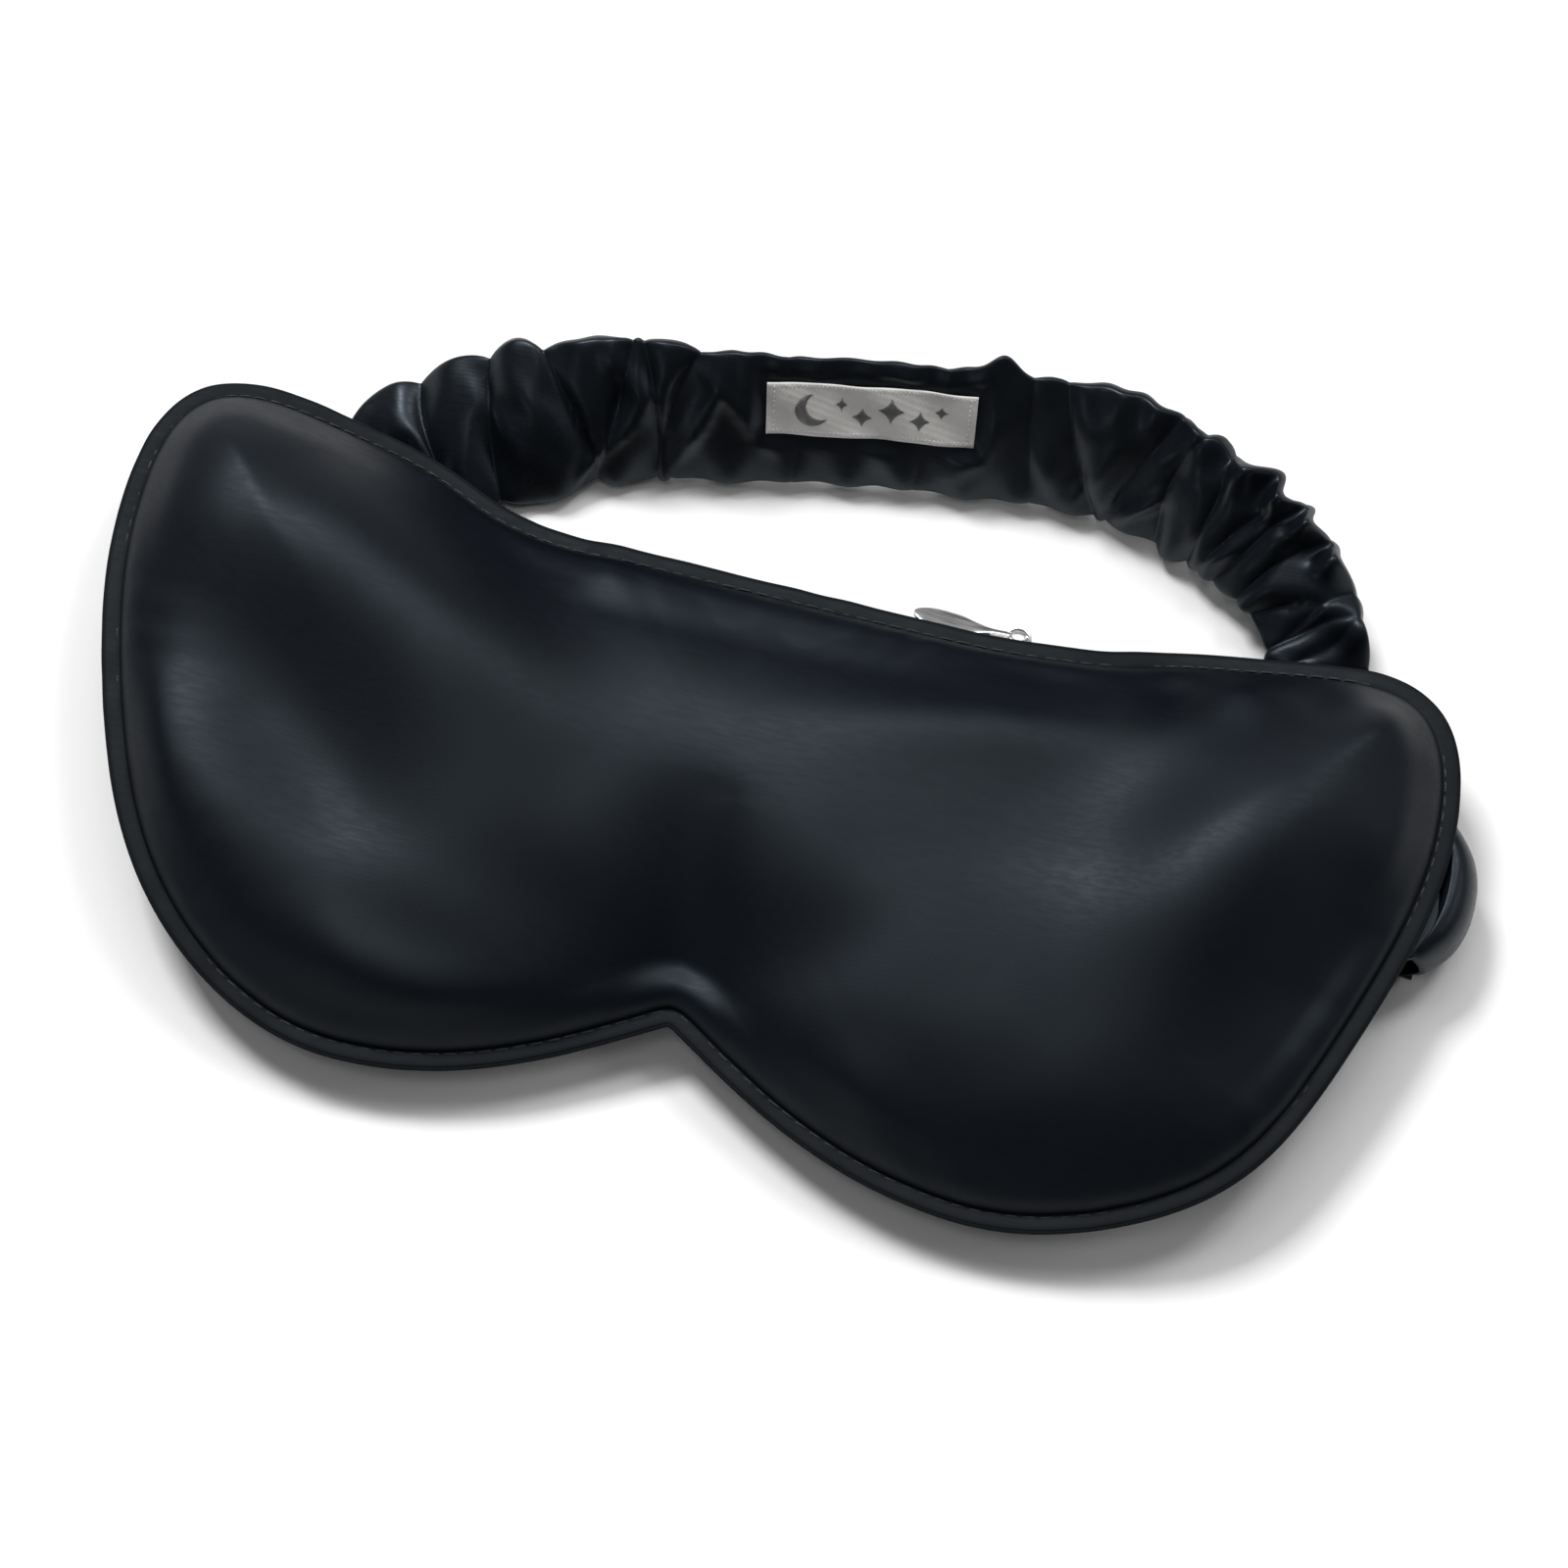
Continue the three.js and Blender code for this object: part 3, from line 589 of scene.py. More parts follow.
LOOP_SHARES = [
    (1, 0), (0.9, 0.01), (0.785, 0.16), (0.745, 0.42), (0.71, 0.66), (0.575, 0.9), (0.4, 1),
    (0.14, 0.96), (-0.14, 0.86), (-0.39, 0.75), (-0.585, 0.57), (-0.67, 0.32), (-0.78, 0.09),
    (-0.9, 0.005), (-1, 0),
]
upper = outline[outline[:, 1] > end_y]
upper = upper[np.argsort(upper[:, 0])]


def strap_frames(table_count, fold_count):
    """Middles, wide and thick directions and arc lengths of the strap, right sewn end to left."""
    loop = [(a * sewn_x, strap_end_y + b * strap_reach) for a, b in LOOP_SHARES]
    line, _ = catmull(loop, table_count)
    forward = np.gradient(line, axis=0)
    forward /= np.linalg.norm(forward, axis=1)[:, None]
    beyond = line[:, 1] - np.interp(line[:, 0], upper[:, 0], upper[:, 1])
    lean = np.radians(90 - (90 - strap_lean) * smooth(beyond, -6, 27))
    lean = np.convolve(np.pad(lean, 12, "edge"), np.ones(25) / 25, "valid")
    middle = np.c_[line, ground + strap_thickness / 2 * np.sin(lean) + strap_width / 2 * np.cos(lean)]
    wide = np.c_[forward[:, 1] * np.sin(lean), -forward[:, 0] * np.sin(lean), np.cos(lean)]
    thick = np.cross(np.c_[forward, np.zeros(len(line))], wide)
    tab_top = seam_z(half_width) - 1.1 - 0.3
    top, low = tab_top - 0.5, ground + strap_thickness / 2
    tall = (top - low) / 2
    angle = np.pi / 2 - np.pi * np.arange(fold_count) / fold_count
    ends = []
    for side in (1, -1):
        out = side * (sewn_x + fold_reach * np.cos(angle))
        m = np.c_[out, np.full(fold_count, strap_end_y), low + tall + tall * np.sin(angle)]
        f = np.c_[side * np.sin(angle) * fold_reach, np.zeros(fold_count), -np.cos(angle) * tall] * side
        f /= np.linalg.norm(f, axis=1)[:, None]
        w = np.tile([0.0, 1.0, 0.0], (fold_count, 1))
        k = np.cross(f, w)
        ends.append((m, w, k) if side > 0 else (m[::-1], w[::-1], k[::-1]))
    middle = np.vstack([ends[0][0], middle, ends[1][0]])
    wide = np.vstack([ends[0][1], wide, ends[1][1]])
    thick = np.vstack([ends[0][2], thick, ends[1][2]])
    s = np.r_[0, np.cumsum(np.linalg.norm(np.diff(middle, axis=0), axis=1))]
    return middle, wide, thick, s


TABLE_POINTS, FOLD_POINTS = 1100, 60
strap_middle, strap_wide, strap_thick, strap_s = strap_frames(TABLE_POINTS, FOLD_POINTS)
strap_length = strap_s[-1]


def back_floor(points):
    """The lowest the mask's back may be: the table, or over the strap where it passes under."""
    near = strap_middle[::12, :2]
    d = np.full(len(points), 1e9)
    for q in near:
        d = np.minimum(d, np.hypot(points[:, 0] - q[0], points[:, 1] - q[1]))
    over = 1 - smooth(d, strap_width / 2 + 3, strap_width / 2 + 15)
    return over * (strap_thickness + 2.2)


def build_flange():
    """The stitched flat margin round the pad: two lips, pressed together except round the zip's mouth."""
    wave_rng = np.random.default_rng(5)
    s = np.linspace(0, 2 * np.pi, OUTLINE_POINTS, endpoint=False)
    turns = wave_rng.integers(9, 90, 16)
    wobble = sum(np.cos(int(k) * s + wave_rng.uniform(0, 6.28)) / (1 + k / 30) for k in turns)
    wobble *= 0.07
    verts, faces = [], []
    open_by = mouth(outline[:, 0], outline[:, 1], np.full(OUTLINE_POINTS, 0.1))
    # distance in from the outline, and height over the lip's inner side
    profile = [
        (3.4, 0.02), (3.0, 0.34), (2.6, 0.44), (2.0, 0.47), (1.2, 0.46), (0.7, 0.43),
        (0.42, 0.34), (0.40, 0.22), (0.30, 0.30), (0.10, 0.20), (0.0, 0.05), (0.25, -0.05), (3.2, -0.05),
    ]
    rows = len(profile)
    for side in (1, -1):
        for inset, z in profile:
            p = outline + normals * (inset - 0.10 * wobble[:, None])
            height = seam_z(outline[:, 0]) + side * (0.08 + open_by * 0.96 + z) + wobble * 0.7 * (inset < 2.8)
            verts.append(np.c_[p, height])
        start = (0 if side > 0 else rows) * OUTLINE_POINTS
        lip = grid_faces(rows, OUTLINE_POINTS, start, close_rows=True, flip=side < 0)
        faces += [list(f) for f in lip]
    flange = add_mesh("edge_flange", np.vstack(verts), faces, edge_satin)
    # faces 7 to 11 of each lip's profile, its outer rounded edge, take the darker copy of the edge satin as
    # painted shade along the outline
    flange.data.materials.append(shaded_edge_satin)
    for i, face in enumerate(flange.data.polygons):
        face.material_index = int(7 <= (i // OUTLINE_POINTS) % rows <= 11)
    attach(flange, "mask")
    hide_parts("edge_binding")


def build_topstitch():
    """A row of short stitches in the seam between pad and flange, on both faces."""
    verts, faces = [], []
    stitch, gap, r = 1.9, 0.7, 0.13
    count = int(outline_length // (stitch + gap))
    step = outline_length / count
    s_all = np.linspace(0, outline_length, OUTLINE_POINTS + 1)
    loop = np.vstack([outline + normals * 2.35, (outline + normals * 2.35)[:1]])
    open_by = mouth(loop[:, 0], loop[:, 1], np.full(len(loop), 0.1))
    for side in (1, -1):
        for k in range(count):
            s = k * step + np.linspace(0, stitch, 5)
            x, y = np.interp(s, s_all, loop[:, 0]), np.interp(s, s_all, loop[:, 1])
            g = np.interp(s, s_all, open_by)
            arch = 0.10 * np.sin(np.linspace(0, np.pi, 5)) - 0.02
            z = seam_z(x) + side * (0.5 + g * 0.96 + arch)
            v, q = thread_along(np.c_[x, y, z], r)
            base = len(verts) * len(v)
            verts.append(v)
            faces += [[base + i for i in face] for face in q]
    obj = add_mesh("edge_stitching", np.vstack(verts), faces, dark_thread)
    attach(obj, "mask")


# ---------------------------------------------------------------- the ruched strap

STRAP_ROUND = 72  # points round the sleeve's section
# The sleeve's cloth is guessed to be cut at 1.5 runs by 2 widths. It is fitted to the area that these
# shallow gathers hold, and isn't the cloth's cut.
LEFT_TUCK = 13.0  # how far the left sewn end lies in under the mask's edge
TAB_TUCK = LEFT_TUCK - 5


def zone(x, y):
    """How calm and how tightly gathered the sleeve is there."""
    calm = math.exp(-(((x - 14) / 34) ** 4)) if y > 45 else 0.0
    tight = math.exp(-(((x - 70) / 19) ** 2)) if y > 22 else 0.0
    return calm, tight


def gather_creases():
    """Where the sleeve is pinched: place along it, slant, bend and how far the cloth puffs up after it."""
    creases = []
    s = -3.0
    while s < strap_length + 8:
        x = float(np.interp(s, strap_s, strap_middle[:, 0]))
        y = float(np.interp(s, strap_s, strap_middle[:, 1]))
        calm, tight = zone(x, y)
        left = 1.0 if x < -22 and y > 30 else 0.0
        slant = rng.normal(2.6 if x < -48 else 0.0, 3.4 if left else 1.8)
        height = rng.uniform(0.7, 1.9) * (1 + 0.3 * left) * (1 - 0.55 * calm) * (1 - 0.2 * tight)
        creases.append((s, slant, rng.normal(0, 1.4), height))
        s += rng.choice([3.0, 5.0, 8.5, 11.5]) * rng.uniform(0.8, 1.2) * (1 + 0.6 * calm) * (1 - 0.52 * tight)
    return np.array(creases)


def puffs(s, v, creases):
    """Height of the rounded puffs between the creases, at arc lengths s and places across v."""
    out = np.zeros((len(s), len(v)))
    for j, across in enumerate(v):
        c = creases[:, 0] + creases[:, 1] * across + creases[:, 2] * (across**2 - 0.4)
        c = np.maximum.accumulate(c + 1e-3 * np.arange(len(c)))
        i = np.clip(np.searchsorted(c, s) - 1, 0, len(c) - 2)
        width = np.maximum(c[i + 1] - c[i], 0.8)
        t = np.clip((s - c[i]) / width, 0, 1)
        out[:, j] = creases[i, 3] * np.sin(np.pi * t) ** 0.8 * np.minimum(width / 4.0, 1.2)
    return out


def silk_ridges(s, v):
    """Long soft folds that cross the puffs at a slant."""
    total = np.zeros((len(s), len(v)))
    at = 4.0
    while at < strap_length:
        x = float(np.interp(at, strap_s, strap_middle[:, 0]))
        y = float(np.interp(at, strap_s, strap_middle[:, 1]))
        calm, tight = zone(x, y)
        slant = rng.uniform(4, 10) * rng.choice([-1, 1]) * (1 - 0.4 * tight)
        width, height = rng.uniform(1.3, 2.8) * (1 + 0.5 * calm), rng.uniform(0.7, 1.6) * (1 - 0.4 * calm)
        middle, reach = rng.uniform(-0.6, 0.6), rng.uniform(0.45, 0.9)
        d = (s[:, None] - at - slant * v[None] - 1.5 * v[None] ** 2) / width
        total += height * np.exp(-d * d) * np.exp(-(((v[None] - middle) / reach) ** 2))
        at += rng.uniform(4.0, 8.0) * (1 - 0.3 * tight)
    return total


LABEL_HALF, LABEL_TALL, LABEL_UP = 16.0, 9.0, 2.6
label_low, label_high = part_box("strap_label")
label_x = (label_low.x + label_high.x) / 2 / MM
past_folds = slice(100, -100)
label_s = float(np.interp(-label_x, -strap_middle[past_folds, 0], strap_s[past_folds]))


def build_strap():
    """The ruched sleeve as one surface, cut in three: two ends that bend, and the loop between them."""
    theta = np.linspace(0, 2 * np.pi, STRAP_ROUND, endpoint=False)
    v = np.sign(np.cos(theta)) * np.abs(np.cos(theta)) ** 0.62
    face = np.sign(np.sin(theta)) * np.abs(np.sin(theta)) ** 0.55
    s, x, y = strap_s[:, None], strap_middle[:, 0][:, None], strap_middle[:, 1][:, None]
    creases = gather_creases()
    shifted = creases + [1.6, 0, 0, 0]
    inner = puffs(strap_s, v, creases) + silk_ridges(strap_s, v)
    outer = puffs(strap_s, v, shifted) + silk_ridges(strap_s, v)
    lift = np.where(face[None] < 0, inner, outer)
    corner = np.exp(-(((x - 68) / 17) ** 2)) * (y > 30)
    under = 1 - smooth(y - np.interp(x, upper[:, 0], upper[:, 1]), -8, 2)
    behind_label = smooth(LABEL_HALF + 3 - np.abs(s - label_s), 0, 3)
    behind_label = behind_label * smooth(0.62 - np.abs(v[None] - 0.24), 0, 0.16)
    lift = lift * (1 - 0.6 * under) * (1 - 0.92 * behind_label * (face[None] < 0))
    edge = np.abs(v[None]) ** 3
    upper_frill, lower_frill = (puffs(strap_s, np.array([side]), creases) for side in (1.0, -1.0))
    frill = np.where(v[None] > 0, upper_frill, lower_frill)
    peaks = 1.3 * np.exp(-(((x + 31) / 4.5) ** 2)) + 2.6 * np.exp(-(((x - 24) / 2.6) ** 2))
    peaks = (peaks - 1.8 * np.exp(-(((x - 57) / 2.4) ** 2))) * (y > 40) * (v[None] > 0)
    across = np.sign(v[None]) * edge * (0.8 * frill * (1 - 0.6 * under) + peaks)
    across = (strap_width / 2 - 1.3) * v[None] + across
    squeeze = 0.3 * np.exp(-(((x - 76) / 12) ** 2)) * (y > 20)
    across = across * (1 - squeeze) + squeeze * (strap_width / 2) * 0.9
    # the edges snake out of line, most of all where the sleeve is gathered hardest
    phase = s * (2 * np.pi / 6.2) + 1.1 * np.sin(s * 0.23)
    snake = (0.25 + 2.0 * corner) * np.sin(phase) * smooth(v[None], 0.3, 1.0) * (1 - 0.85 * under)
    snake += 0.5 * np.sin(s * (2 * np.pi / 9.1) + 2.0) * smooth(-v[None], 0.3, 1.0) * (1 - 0.85 * under)
    roll = 0.8 * corner * smooth(v[None], 0.5, 1.0) * np.sign(face[None])
    half_thick = 0.85 * (1 - 0.2 * v[None] ** 2)
    swell = np.abs(face[None]) ** 0.5
    through = face[None] * half_thick + np.sign(face[None]) * lift * swell * (1 - 0.5 * edge)
    through = through + snake + roll * swell
    through = under * np.clip(through, -1.45, 1.45) + (1 - under) * through
    verts = strap_middle[:, None] + strap_wide[:, None] * across[..., None]
    verts = verts + strap_thick[:, None] * through[..., None]
    # the right end's fold is rounder at its two edges, and the left end is tucked under the mask's edge
    fold = smooth(strap_middle[:, 0], sewn_x - 2, sewn_x + 1)[:, None]
    verts[..., 0] -= 4.2 * fold * np.abs(v[None]) ** 2.3
    tuck = smooth(-strap_middle[:, 0], 70, 104)[:, None]
    verts[..., 0] += LEFT_TUCK * tuck
    verts[..., 2] *= 1 - 0.18 * tuck
    verts[..., 2] = np.maximum(verts[..., 2], 0.12)
    loop = np.flatnonzero(strap_middle[:, 1] > strap_end_y + 24)
    first, last = loop[0], loop[-1]
    pieces = {
        "strap_right_end": (0, first),
        "strap_loop": (first, last),
        "strap_left_end": (last, len(strap_s) - 1),
    }
    made = {}
    for name, (a, b) in pieces.items():
        part = verts[a:b + 1]
        faces = [list(f) for f in grid_faces(len(part), STRAP_ROUND)]
        faces.append(list(range(STRAP_ROUND))[::-1])
        faces.append([(len(part) - 1) * STRAP_ROUND + i for i in range(STRAP_ROUND)])
        obj = add_mesh(name, part.reshape(-1, 3), faces, strap_satin)
        made[name] = obj
    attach(made["strap_loop"], "strap")
    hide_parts("strap_sleeve", "strap_elastic")
    for name, side in (("strap_right_end", 1), ("strap_left_end", -1)):
        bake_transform(made[name])


# ---------------------------------------------------------------- the satin label, its stitches and its motif

def on_label(u, w, above=0.0):
    """A point on the label: u to the right along it, w up across it, above its face."""
    u, w = np.asarray(u, float), np.asarray(w, float)
    s = label_s - u
    middle, wide, thick = (
        np.stack([np.interp(s, strap_s, block[:, k]) for k in range(3)], -1)
        for block in (strap_middle, strap_wide, strap_thick)
    )
    wave = 0.22 * np.sin(u * 0.42 + 0.5 * w) + 0.12 * np.sin(u * 0.9 + 2 + 0.3 * w) * (w / LABEL_TALL)
    out = 1.4 + wave + above
    return middle + wide * (LABEL_UP + w)[..., None] - thick * out[..., None]


def stitches(name, segments, width, height, material, lift=0.0):
    """Short raised threads on the label, each from (u, w) to (u, w)."""
    verts, faces = [], []
    for (u0, w0), (u1, w1) in segments:
        t = np.linspace(0, 1, 5)
        u, w = u0 + (u1 - u0) * t, w0 + (w1 - w0) * t
        length = math.hypot(u1 - u0, w1 - w0) + 1e-9
        nu, nw = -(w1 - w0) / length * width / 2, (u1 - u0) / length * width / 2
        arch = lift + height * np.sin(np.pi * (0.12 + 0.76 * t))
        rows = [
            on_label(u + nu, w + nw, lift - 0.05), on_label(u + nu * 0.6, w + nw * 0.6, arch),
            on_label(u - nu * 0.6, w - nw * 0.6, arch), on_label(u - nu, w - nw, lift - 0.05),
        ]
        base = 20 * len(verts)
        verts.append(np.stack(rows, 1).reshape(-1, 3))
        faces += [[base + i for i in q] for q in grid_faces(5, 4)]
        faces += [[base + 3, base + 2, base + 1, base], [base + 16, base + 17, base + 18, base + 19]]
    obj = add_mesh(name, np.vstack(verts), faces, material)
    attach(obj, "strap")
    return obj


def filled(inside, u_range, w_range, step):
    """Upright stitches that fill a shape given by inside(u, w)."""
    segments = []
    w = np.linspace(*w_range, 120)
    for u in np.arange(u_range[0], u_range[1], step):
        hit = inside(np.full(120, u), w)
        start = None
        for i, on in enumerate(np.append(hit, False)):
            if on and start is None:
                start = i
            elif not on and start is not None:
                if w[i - 1] - w[start] > 0.15:
                    segments.append(((u, w[start]), (u + 0.05, w[i - 1])))
                start = None
    return segments


def star(cu, cw, radius):
    """A four-pointed star with hollow sides."""
    return lambda u, w: (np.abs(u - cu) / radius) ** 0.62 + (np.abs(w - cw) / radius) ** 0.62 < 1


STARS = [(-4.6, 1.1, 1.2), (-1.4, -0.9, 1.9), (3.0, 0.7, 2.5), (7.4, -0.7, 1.9), (10.6, 1.0, 1.3)]


def build_label():
    """The ribbon with its two woven edges, a seam at each end, and a moon and stars in thread."""
    nu, nw = 150, 26
    u = np.linspace(-LABEL_HALF, LABEL_HALF, nu)[:, None] + np.zeros((1, nw))
    w = np.linspace(-LABEL_TALL / 2, LABEL_TALL / 2, nw)[None] + np.zeros((nu, 1))
    top, under = on_label(u, w), on_label(u, w, -0.22)
    verts = np.vstack([top.reshape(-1, 3), under.reshape(-1, 3)])
    faces = [list(q) for q in grid_faces(nu, nw, 0, close_cols=False)]
    faces += [list(q) for q in grid_faces(nu, nw, nu * nw, close_cols=False, flip=True)]
    rim = list(range(nw)) + [r * nw + nw - 1 for r in range(1, nu)]
    rim += [(nu - 1) * nw + i for i in range(nw - 2, -1, -1)] + [r * nw for r in range(nu - 2, 0, -1)]
    for a, b in zip(rim, rim[1:] + rim[:1]):
        faces.append([b, a, nu * nw + a, nu * nw + b])
    label = add_mesh("satin_label", verts, faces, silver_ribbon)
    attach(label, "strap")
    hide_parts("strap_label")

    ends = {"right": LABEL_HALF - 1.1, "left": -LABEL_HALF + 1.1}
    for word, at in ends.items():
        row = [((at, w0), (at + 0.08, w0 + 0.62)) for w0 in np.arange(-4.3, 3.9, 0.86)]
        seam = stitches("label_seam_" + word, row, 0.2, 0.09, selvedge)
        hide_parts("label_stitch_" + word)
    ticks = []
    for w0 in (-LABEL_TALL / 2 + 0.35, LABEL_TALL / 2 - 0.85):
        places = np.arange(-LABEL_HALF + 0.4, LABEL_HALF - 0.3, 0.62)
        ticks += [((at, w0), (at + 0.1, w0 + 0.5)) for at in places]
    edge = stitches("label_selvedge", ticks, 0.24, 0.05, selvedge)

    def moon(u, w):
        return (np.hypot(u + 9, w) < 2.7) & (np.hypot(u + 7.7, w - 0.7) > 2.25)
    segments = filled(moon, (-11.8, -6.2), (-3, 3), 0.17)
    for cu, cw, r in STARS:
        segments += filled(star(cu, cw, r), (cu - r, cu + r), (cw - r, cw + r), 0.15)
    motif = stitches("label_motif", segments, 0.15, 0.06, motif_thread)


# ---------------------------------------------------------------- the zip

def build_pull():
    """The leaf-shaped pull and its eye round the slider's bridge."""
    low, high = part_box("zip_pull_tab")
    joint = next(j for j in frame["joints"] if j["name"] == "pull_swing")
    hinge = np.array(joint["pos_m"], float) / MM
    lean = tilt + math.radians(44)
    along = np.array([-1.0, 0, 0])
    across = np.array([0, -math.sin(lean), math.cos(lean)])
    out = np.array([0, math.cos(lean), math.sin(lean)])
    seat = hinge + [0, 0.3, 0.5]
    length = high.x / MM - low.x / MM - 1.65
    # leaf-shaped plate: a rounded lens section, widest at two thirds
    u = np.r_[np.linspace(1.1, 11, 40), 11 + (length - 11) * np.sin(np.linspace(0.03, np.pi / 2, 26))]
    half = 0.55 + 1.85 * smooth(u, 3.2, 10.0)
    half *= np.sqrt(np.clip(1 - (np.clip(u - 11, 0, None) / (length - 11 + 0.02)) ** 2.2, 0.0004, 1))
    ring = np.linspace(0, 2 * np.pi, 28, endpoint=False)
    cos, sin = np.cos(ring), np.sin(ring)
    section = np.stack([np.sign(cos) * np.abs(cos) ** 0.7, np.sign(sin) * np.abs(sin) ** 0.6], -1)
    thick = 0.40 * np.sqrt(np.clip(half / 0.5, 0, 1))
    rows = np.stack([section[None, :, 0] * half[:, None], section[None, :, 1] * thick[:, None]], -1)
    bow = 0.35 * np.sin(np.clip(u / length, 0, 1) * np.pi) ** 2
    middles = seat + along * u[:, None] - out * bow[:, None]
    plate, plate_faces = sweep_mm(middles, np.tile(across, (len(u), 1)), np.tile(out, (len(u), 1)), rows)
    # the eye: a flattened ring round the bridge
    turn = np.linspace(0, 2 * np.pi, 48, endpoint=False)
    spoke = along * np.cos(turn)[:, None] + across * np.sin(turn)[:, None]
    tube = circle(0.36, 14)
    eye, eye_faces = sweep_mm(seat + spoke * 1.3, spoke, np.tile(out, (48, 1)), tube, closed=True)
    faces = plate_faces + [[len(plate) + i for i in f] for f in eye_faces]
    pull = add_mesh("zip_pull_leaf", np.vstack([plate, eye]), faces, nickel)
    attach(pull, "zip_pull")
    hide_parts("zip_pull_tab")


def dress_zip():
    """The hard pieces of the zip show as they are, in nickel, nylon and woven tape."""
    finishes = {
        "zip_slider_body": nickel, "zip_top_stop": coil_nylon, "zip_bottom_stop": coil_nylon,
        "zip_coil_front": coil_nylon, "zip_coil_back": coil_nylon,
        "zip_tape_front": tape_cloth, "zip_tape_back": tape_cloth,
    }
    for name, material in finishes.items():
        mesh = frame["nodes"][name].data
        mesh.materials.clear()
        mesh.materials.append(material)


def build_tabs():
    """The strap's sewn ends: the sleeve pressed flat under the flange, with a bar tack across it."""
    for side, word in ((1, "right"), (-1, "left")):
        low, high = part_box("strap_tab_" + word)
        x0, x1 = low.x / MM, high.x / MM
        if side < 0:
            x0, x1 = x0 + TAB_TUCK, x1 + TAB_TUCK
        z0, z1 = low.z / MM, high.z / MM
        n, k = 60, 9
        y = np.linspace(low.y / MM, high.y / MM, n)
        gather = 0.22 * np.sin(y * 2.3) + 0.14 * np.sin(y * 4.1 + 1)
        rows = []
        for i in range(k):
            t = i / (k - 1)
            x = x0 + (x1 - x0) * t
            outer = t if side > 0 else 1 - t
            narrowed = strap_end_y + (y - strap_end_y) * (1 - 0.3 * outer**2)
            rows.append((np.full(n, x), narrowed, z0 + gather * (0.4 + 0.6 * t)))
        under = np.stack([np.stack(r, 1) for r in rows])
        over = under.copy()
        over[..., 2] = z1 - 0.05
        verts = np.vstack([over.reshape(-1, 3), under.reshape(-1, 3)])
        faces = [list(f) for f in grid_faces(k, n, 0, close_cols=False, flip=True)]
        faces += [list(f) for f in grid_faces(k, n, k * n, close_cols=False)]
        rim = [i for i in range(n)] + [r * n + n - 1 for r in range(1, k)]
        rim += [(k - 1) * n + i for i in range(n - 2, -1, -1)] + [r * n for r in range(k - 2, 0, -1)]
        for a, b in zip(rim, rim[1:] + rim[:1]):
            faces.append([a, b, k * n + b, k * n + a])
        tab = add_mesh("sewn_end_" + word, verts, faces, strap_satin)
        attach(tab, "mask")
        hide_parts("strap_tab_" + word)
        low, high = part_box("bar_tack_" + word)
        x, z = (low.x + high.x) / 2 / MM + (TAB_TUCK if side < 0 else 0), high.z / MM
        count = 46
        ys = np.linspace(low.y / MM, high.y / MM, count * 4)
        zig = 0.5 * np.sin(np.arange(count * 4) * np.pi / 2)
        m = np.c_[x + zig, ys, z - 0.15 + 0.05 * np.cos(np.arange(count * 4) * np.pi)]
        v, q = thread_along(m, 0.12)
        tack = add_mesh("bar_tack_thread_" + word, v, q, dark_thread)
        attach(tack, "mask")
        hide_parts("bar_tack_" + word)


build_pad()
build_flange()
build_topstitch()
build_strap()
build_tabs()
build_label()
build_pull()
dress_zip()

# ---------------------------------------------------------------- stage, light and camera

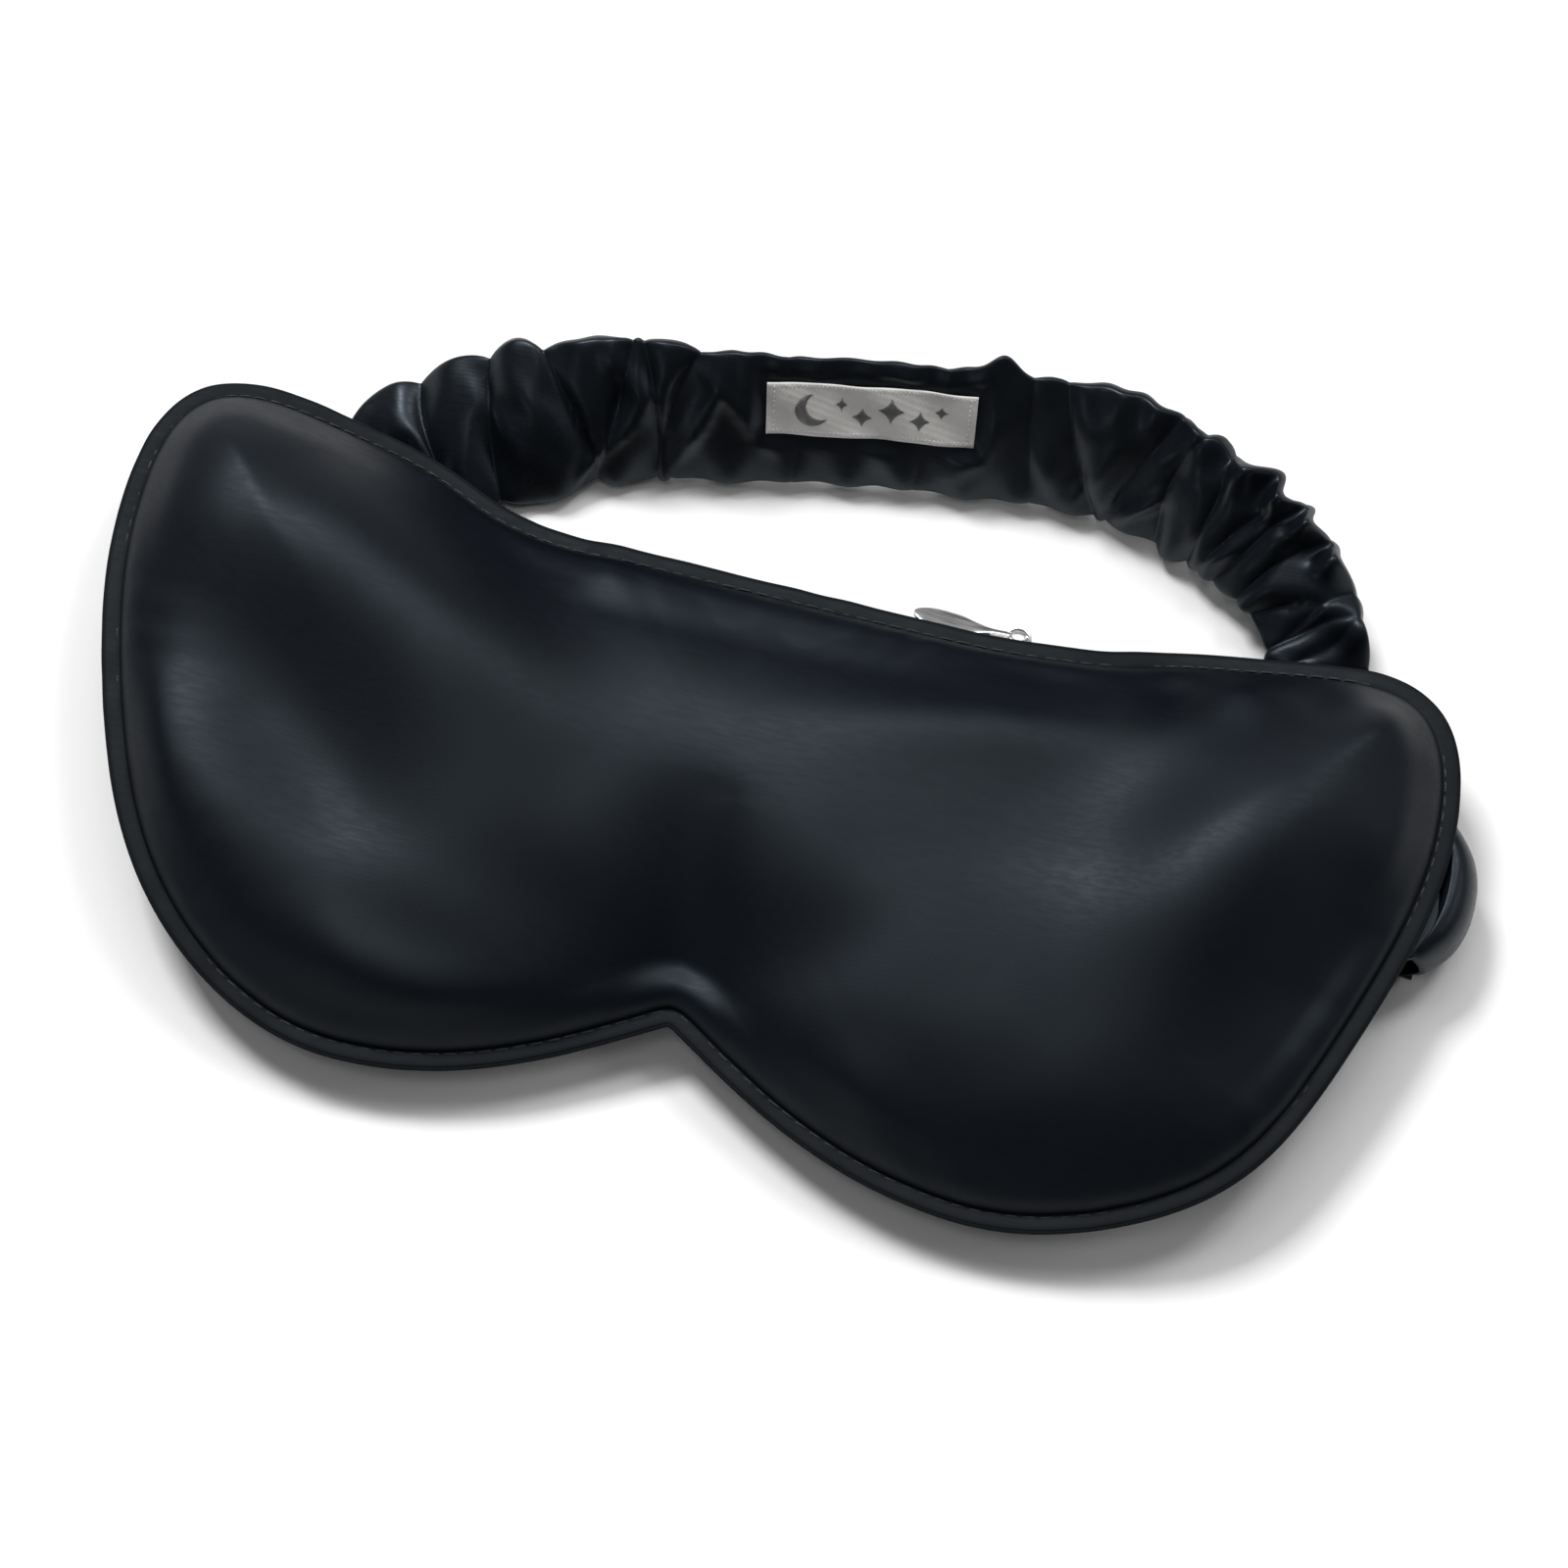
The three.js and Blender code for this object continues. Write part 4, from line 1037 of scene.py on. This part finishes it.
def stage():
    """A plain pale floor."""
    mat, nodes, links, shader, place = new_material("pale_floor")
    grain = noise(nodes, links, place, 6, 2)
    tone = ramp(nodes, links, grain, (0.95, 0.95, 0.95, 1), (0.97, 0.97, 0.97, 1))
    links.new(tone, shader.inputs["Base Color"])
    shader.inputs["Roughness"].default_value = 0.9
    shader.inputs["Specular IOR Level"].default_value = 0.1
    reach = 4.0
    corners = [(x * reach, y * reach, 0) for x, y in ((-1, -1), (1, -1), (1, 1), (-1, 1))]
    mesh = bpy.data.meshes.new("floor")
    mesh.from_pydata(corners, [], [(0, 1, 2, 3)])
    mesh.materials.append(mat)
    floor = bpy.data.objects.new("floor", mesh)
    bpy.context.collection.objects.link(floor)


def area_light(name, where, size, power, target=(0, 0.01, 0)):
    light = bpy.data.lights.new(name, "AREA")
    light.shape = "RECTANGLE"
    light.size, light.size_y = size
    light.energy = power
    obj = bpy.data.objects.new(name, light)
    bpy.context.collection.objects.link(obj)
    obj.location = where
    obj.rotation_mode = "QUATERNION"
    obj.rotation_quaternion = (Vector(target) - Vector(where)).to_track_quat("-Z", "Y")


stage()
world = bpy.data.worlds.new("studio")
bpy.context.scene.world = world
world.use_nodes = True
world.node_tree.nodes["Background"].inputs["Color"].default_value = (1, 1, 1, 1)
world.node_tree.nodes["Background"].inputs["Strength"].default_value = 0.10
LIGHT_DISTANCE = 2.2
for name, direction, size, power in (
    ("key", (-0.42, 0.46, 0.78), (0.6, 0.5), 36),
    ("overhead", (-0.09, 0.47, 0.88), (1.2, 1.0), 11),
    ("side", (0.80, 0.30, 0.55), (0.8, 0.4), 4),
    ("front", (-0.09, -0.16, 0.98), (0.7, 0.4), 2.5),
    ("right", (0.32, 0.54, 0.78), (0.5, 0.5), 11),
    ("low", (-0.45, -0.80, 0.40), (0.8, 0.3), 2),
):
    area_light(name, Vector(direction).normalized() * LIGHT_DISTANCE, size, power)

camera_data = bpy.data.cameras.new("camera")
camera = bpy.data.objects.new("camera", camera_data)
bpy.context.collection.objects.link(camera)
bpy.context.scene.camera = camera
camera_data.lens = 104.3
camera_data.sensor_width = 36
AZIMUTH, ELEVATION, DISTANCE = math.radians(14.73), math.radians(70), 0.6860
target = Vector((0.0060, 0.0108, 0))
back = Vector((
    math.sin(AZIMUTH) * math.cos(ELEVATION),
    -math.cos(AZIMUTH) * math.cos(ELEVATION),
    math.sin(ELEVATION),
))
camera.location = target + back * DISTANCE
camera.rotation_mode = "QUATERNION"
camera.rotation_quaternion = (-back).to_track_quat("-Z", "Y")
camera_data.clip_start, camera_data.clip_end = 0.01, 20
bpy.context.scene.view_settings.view_transform = "Standard"
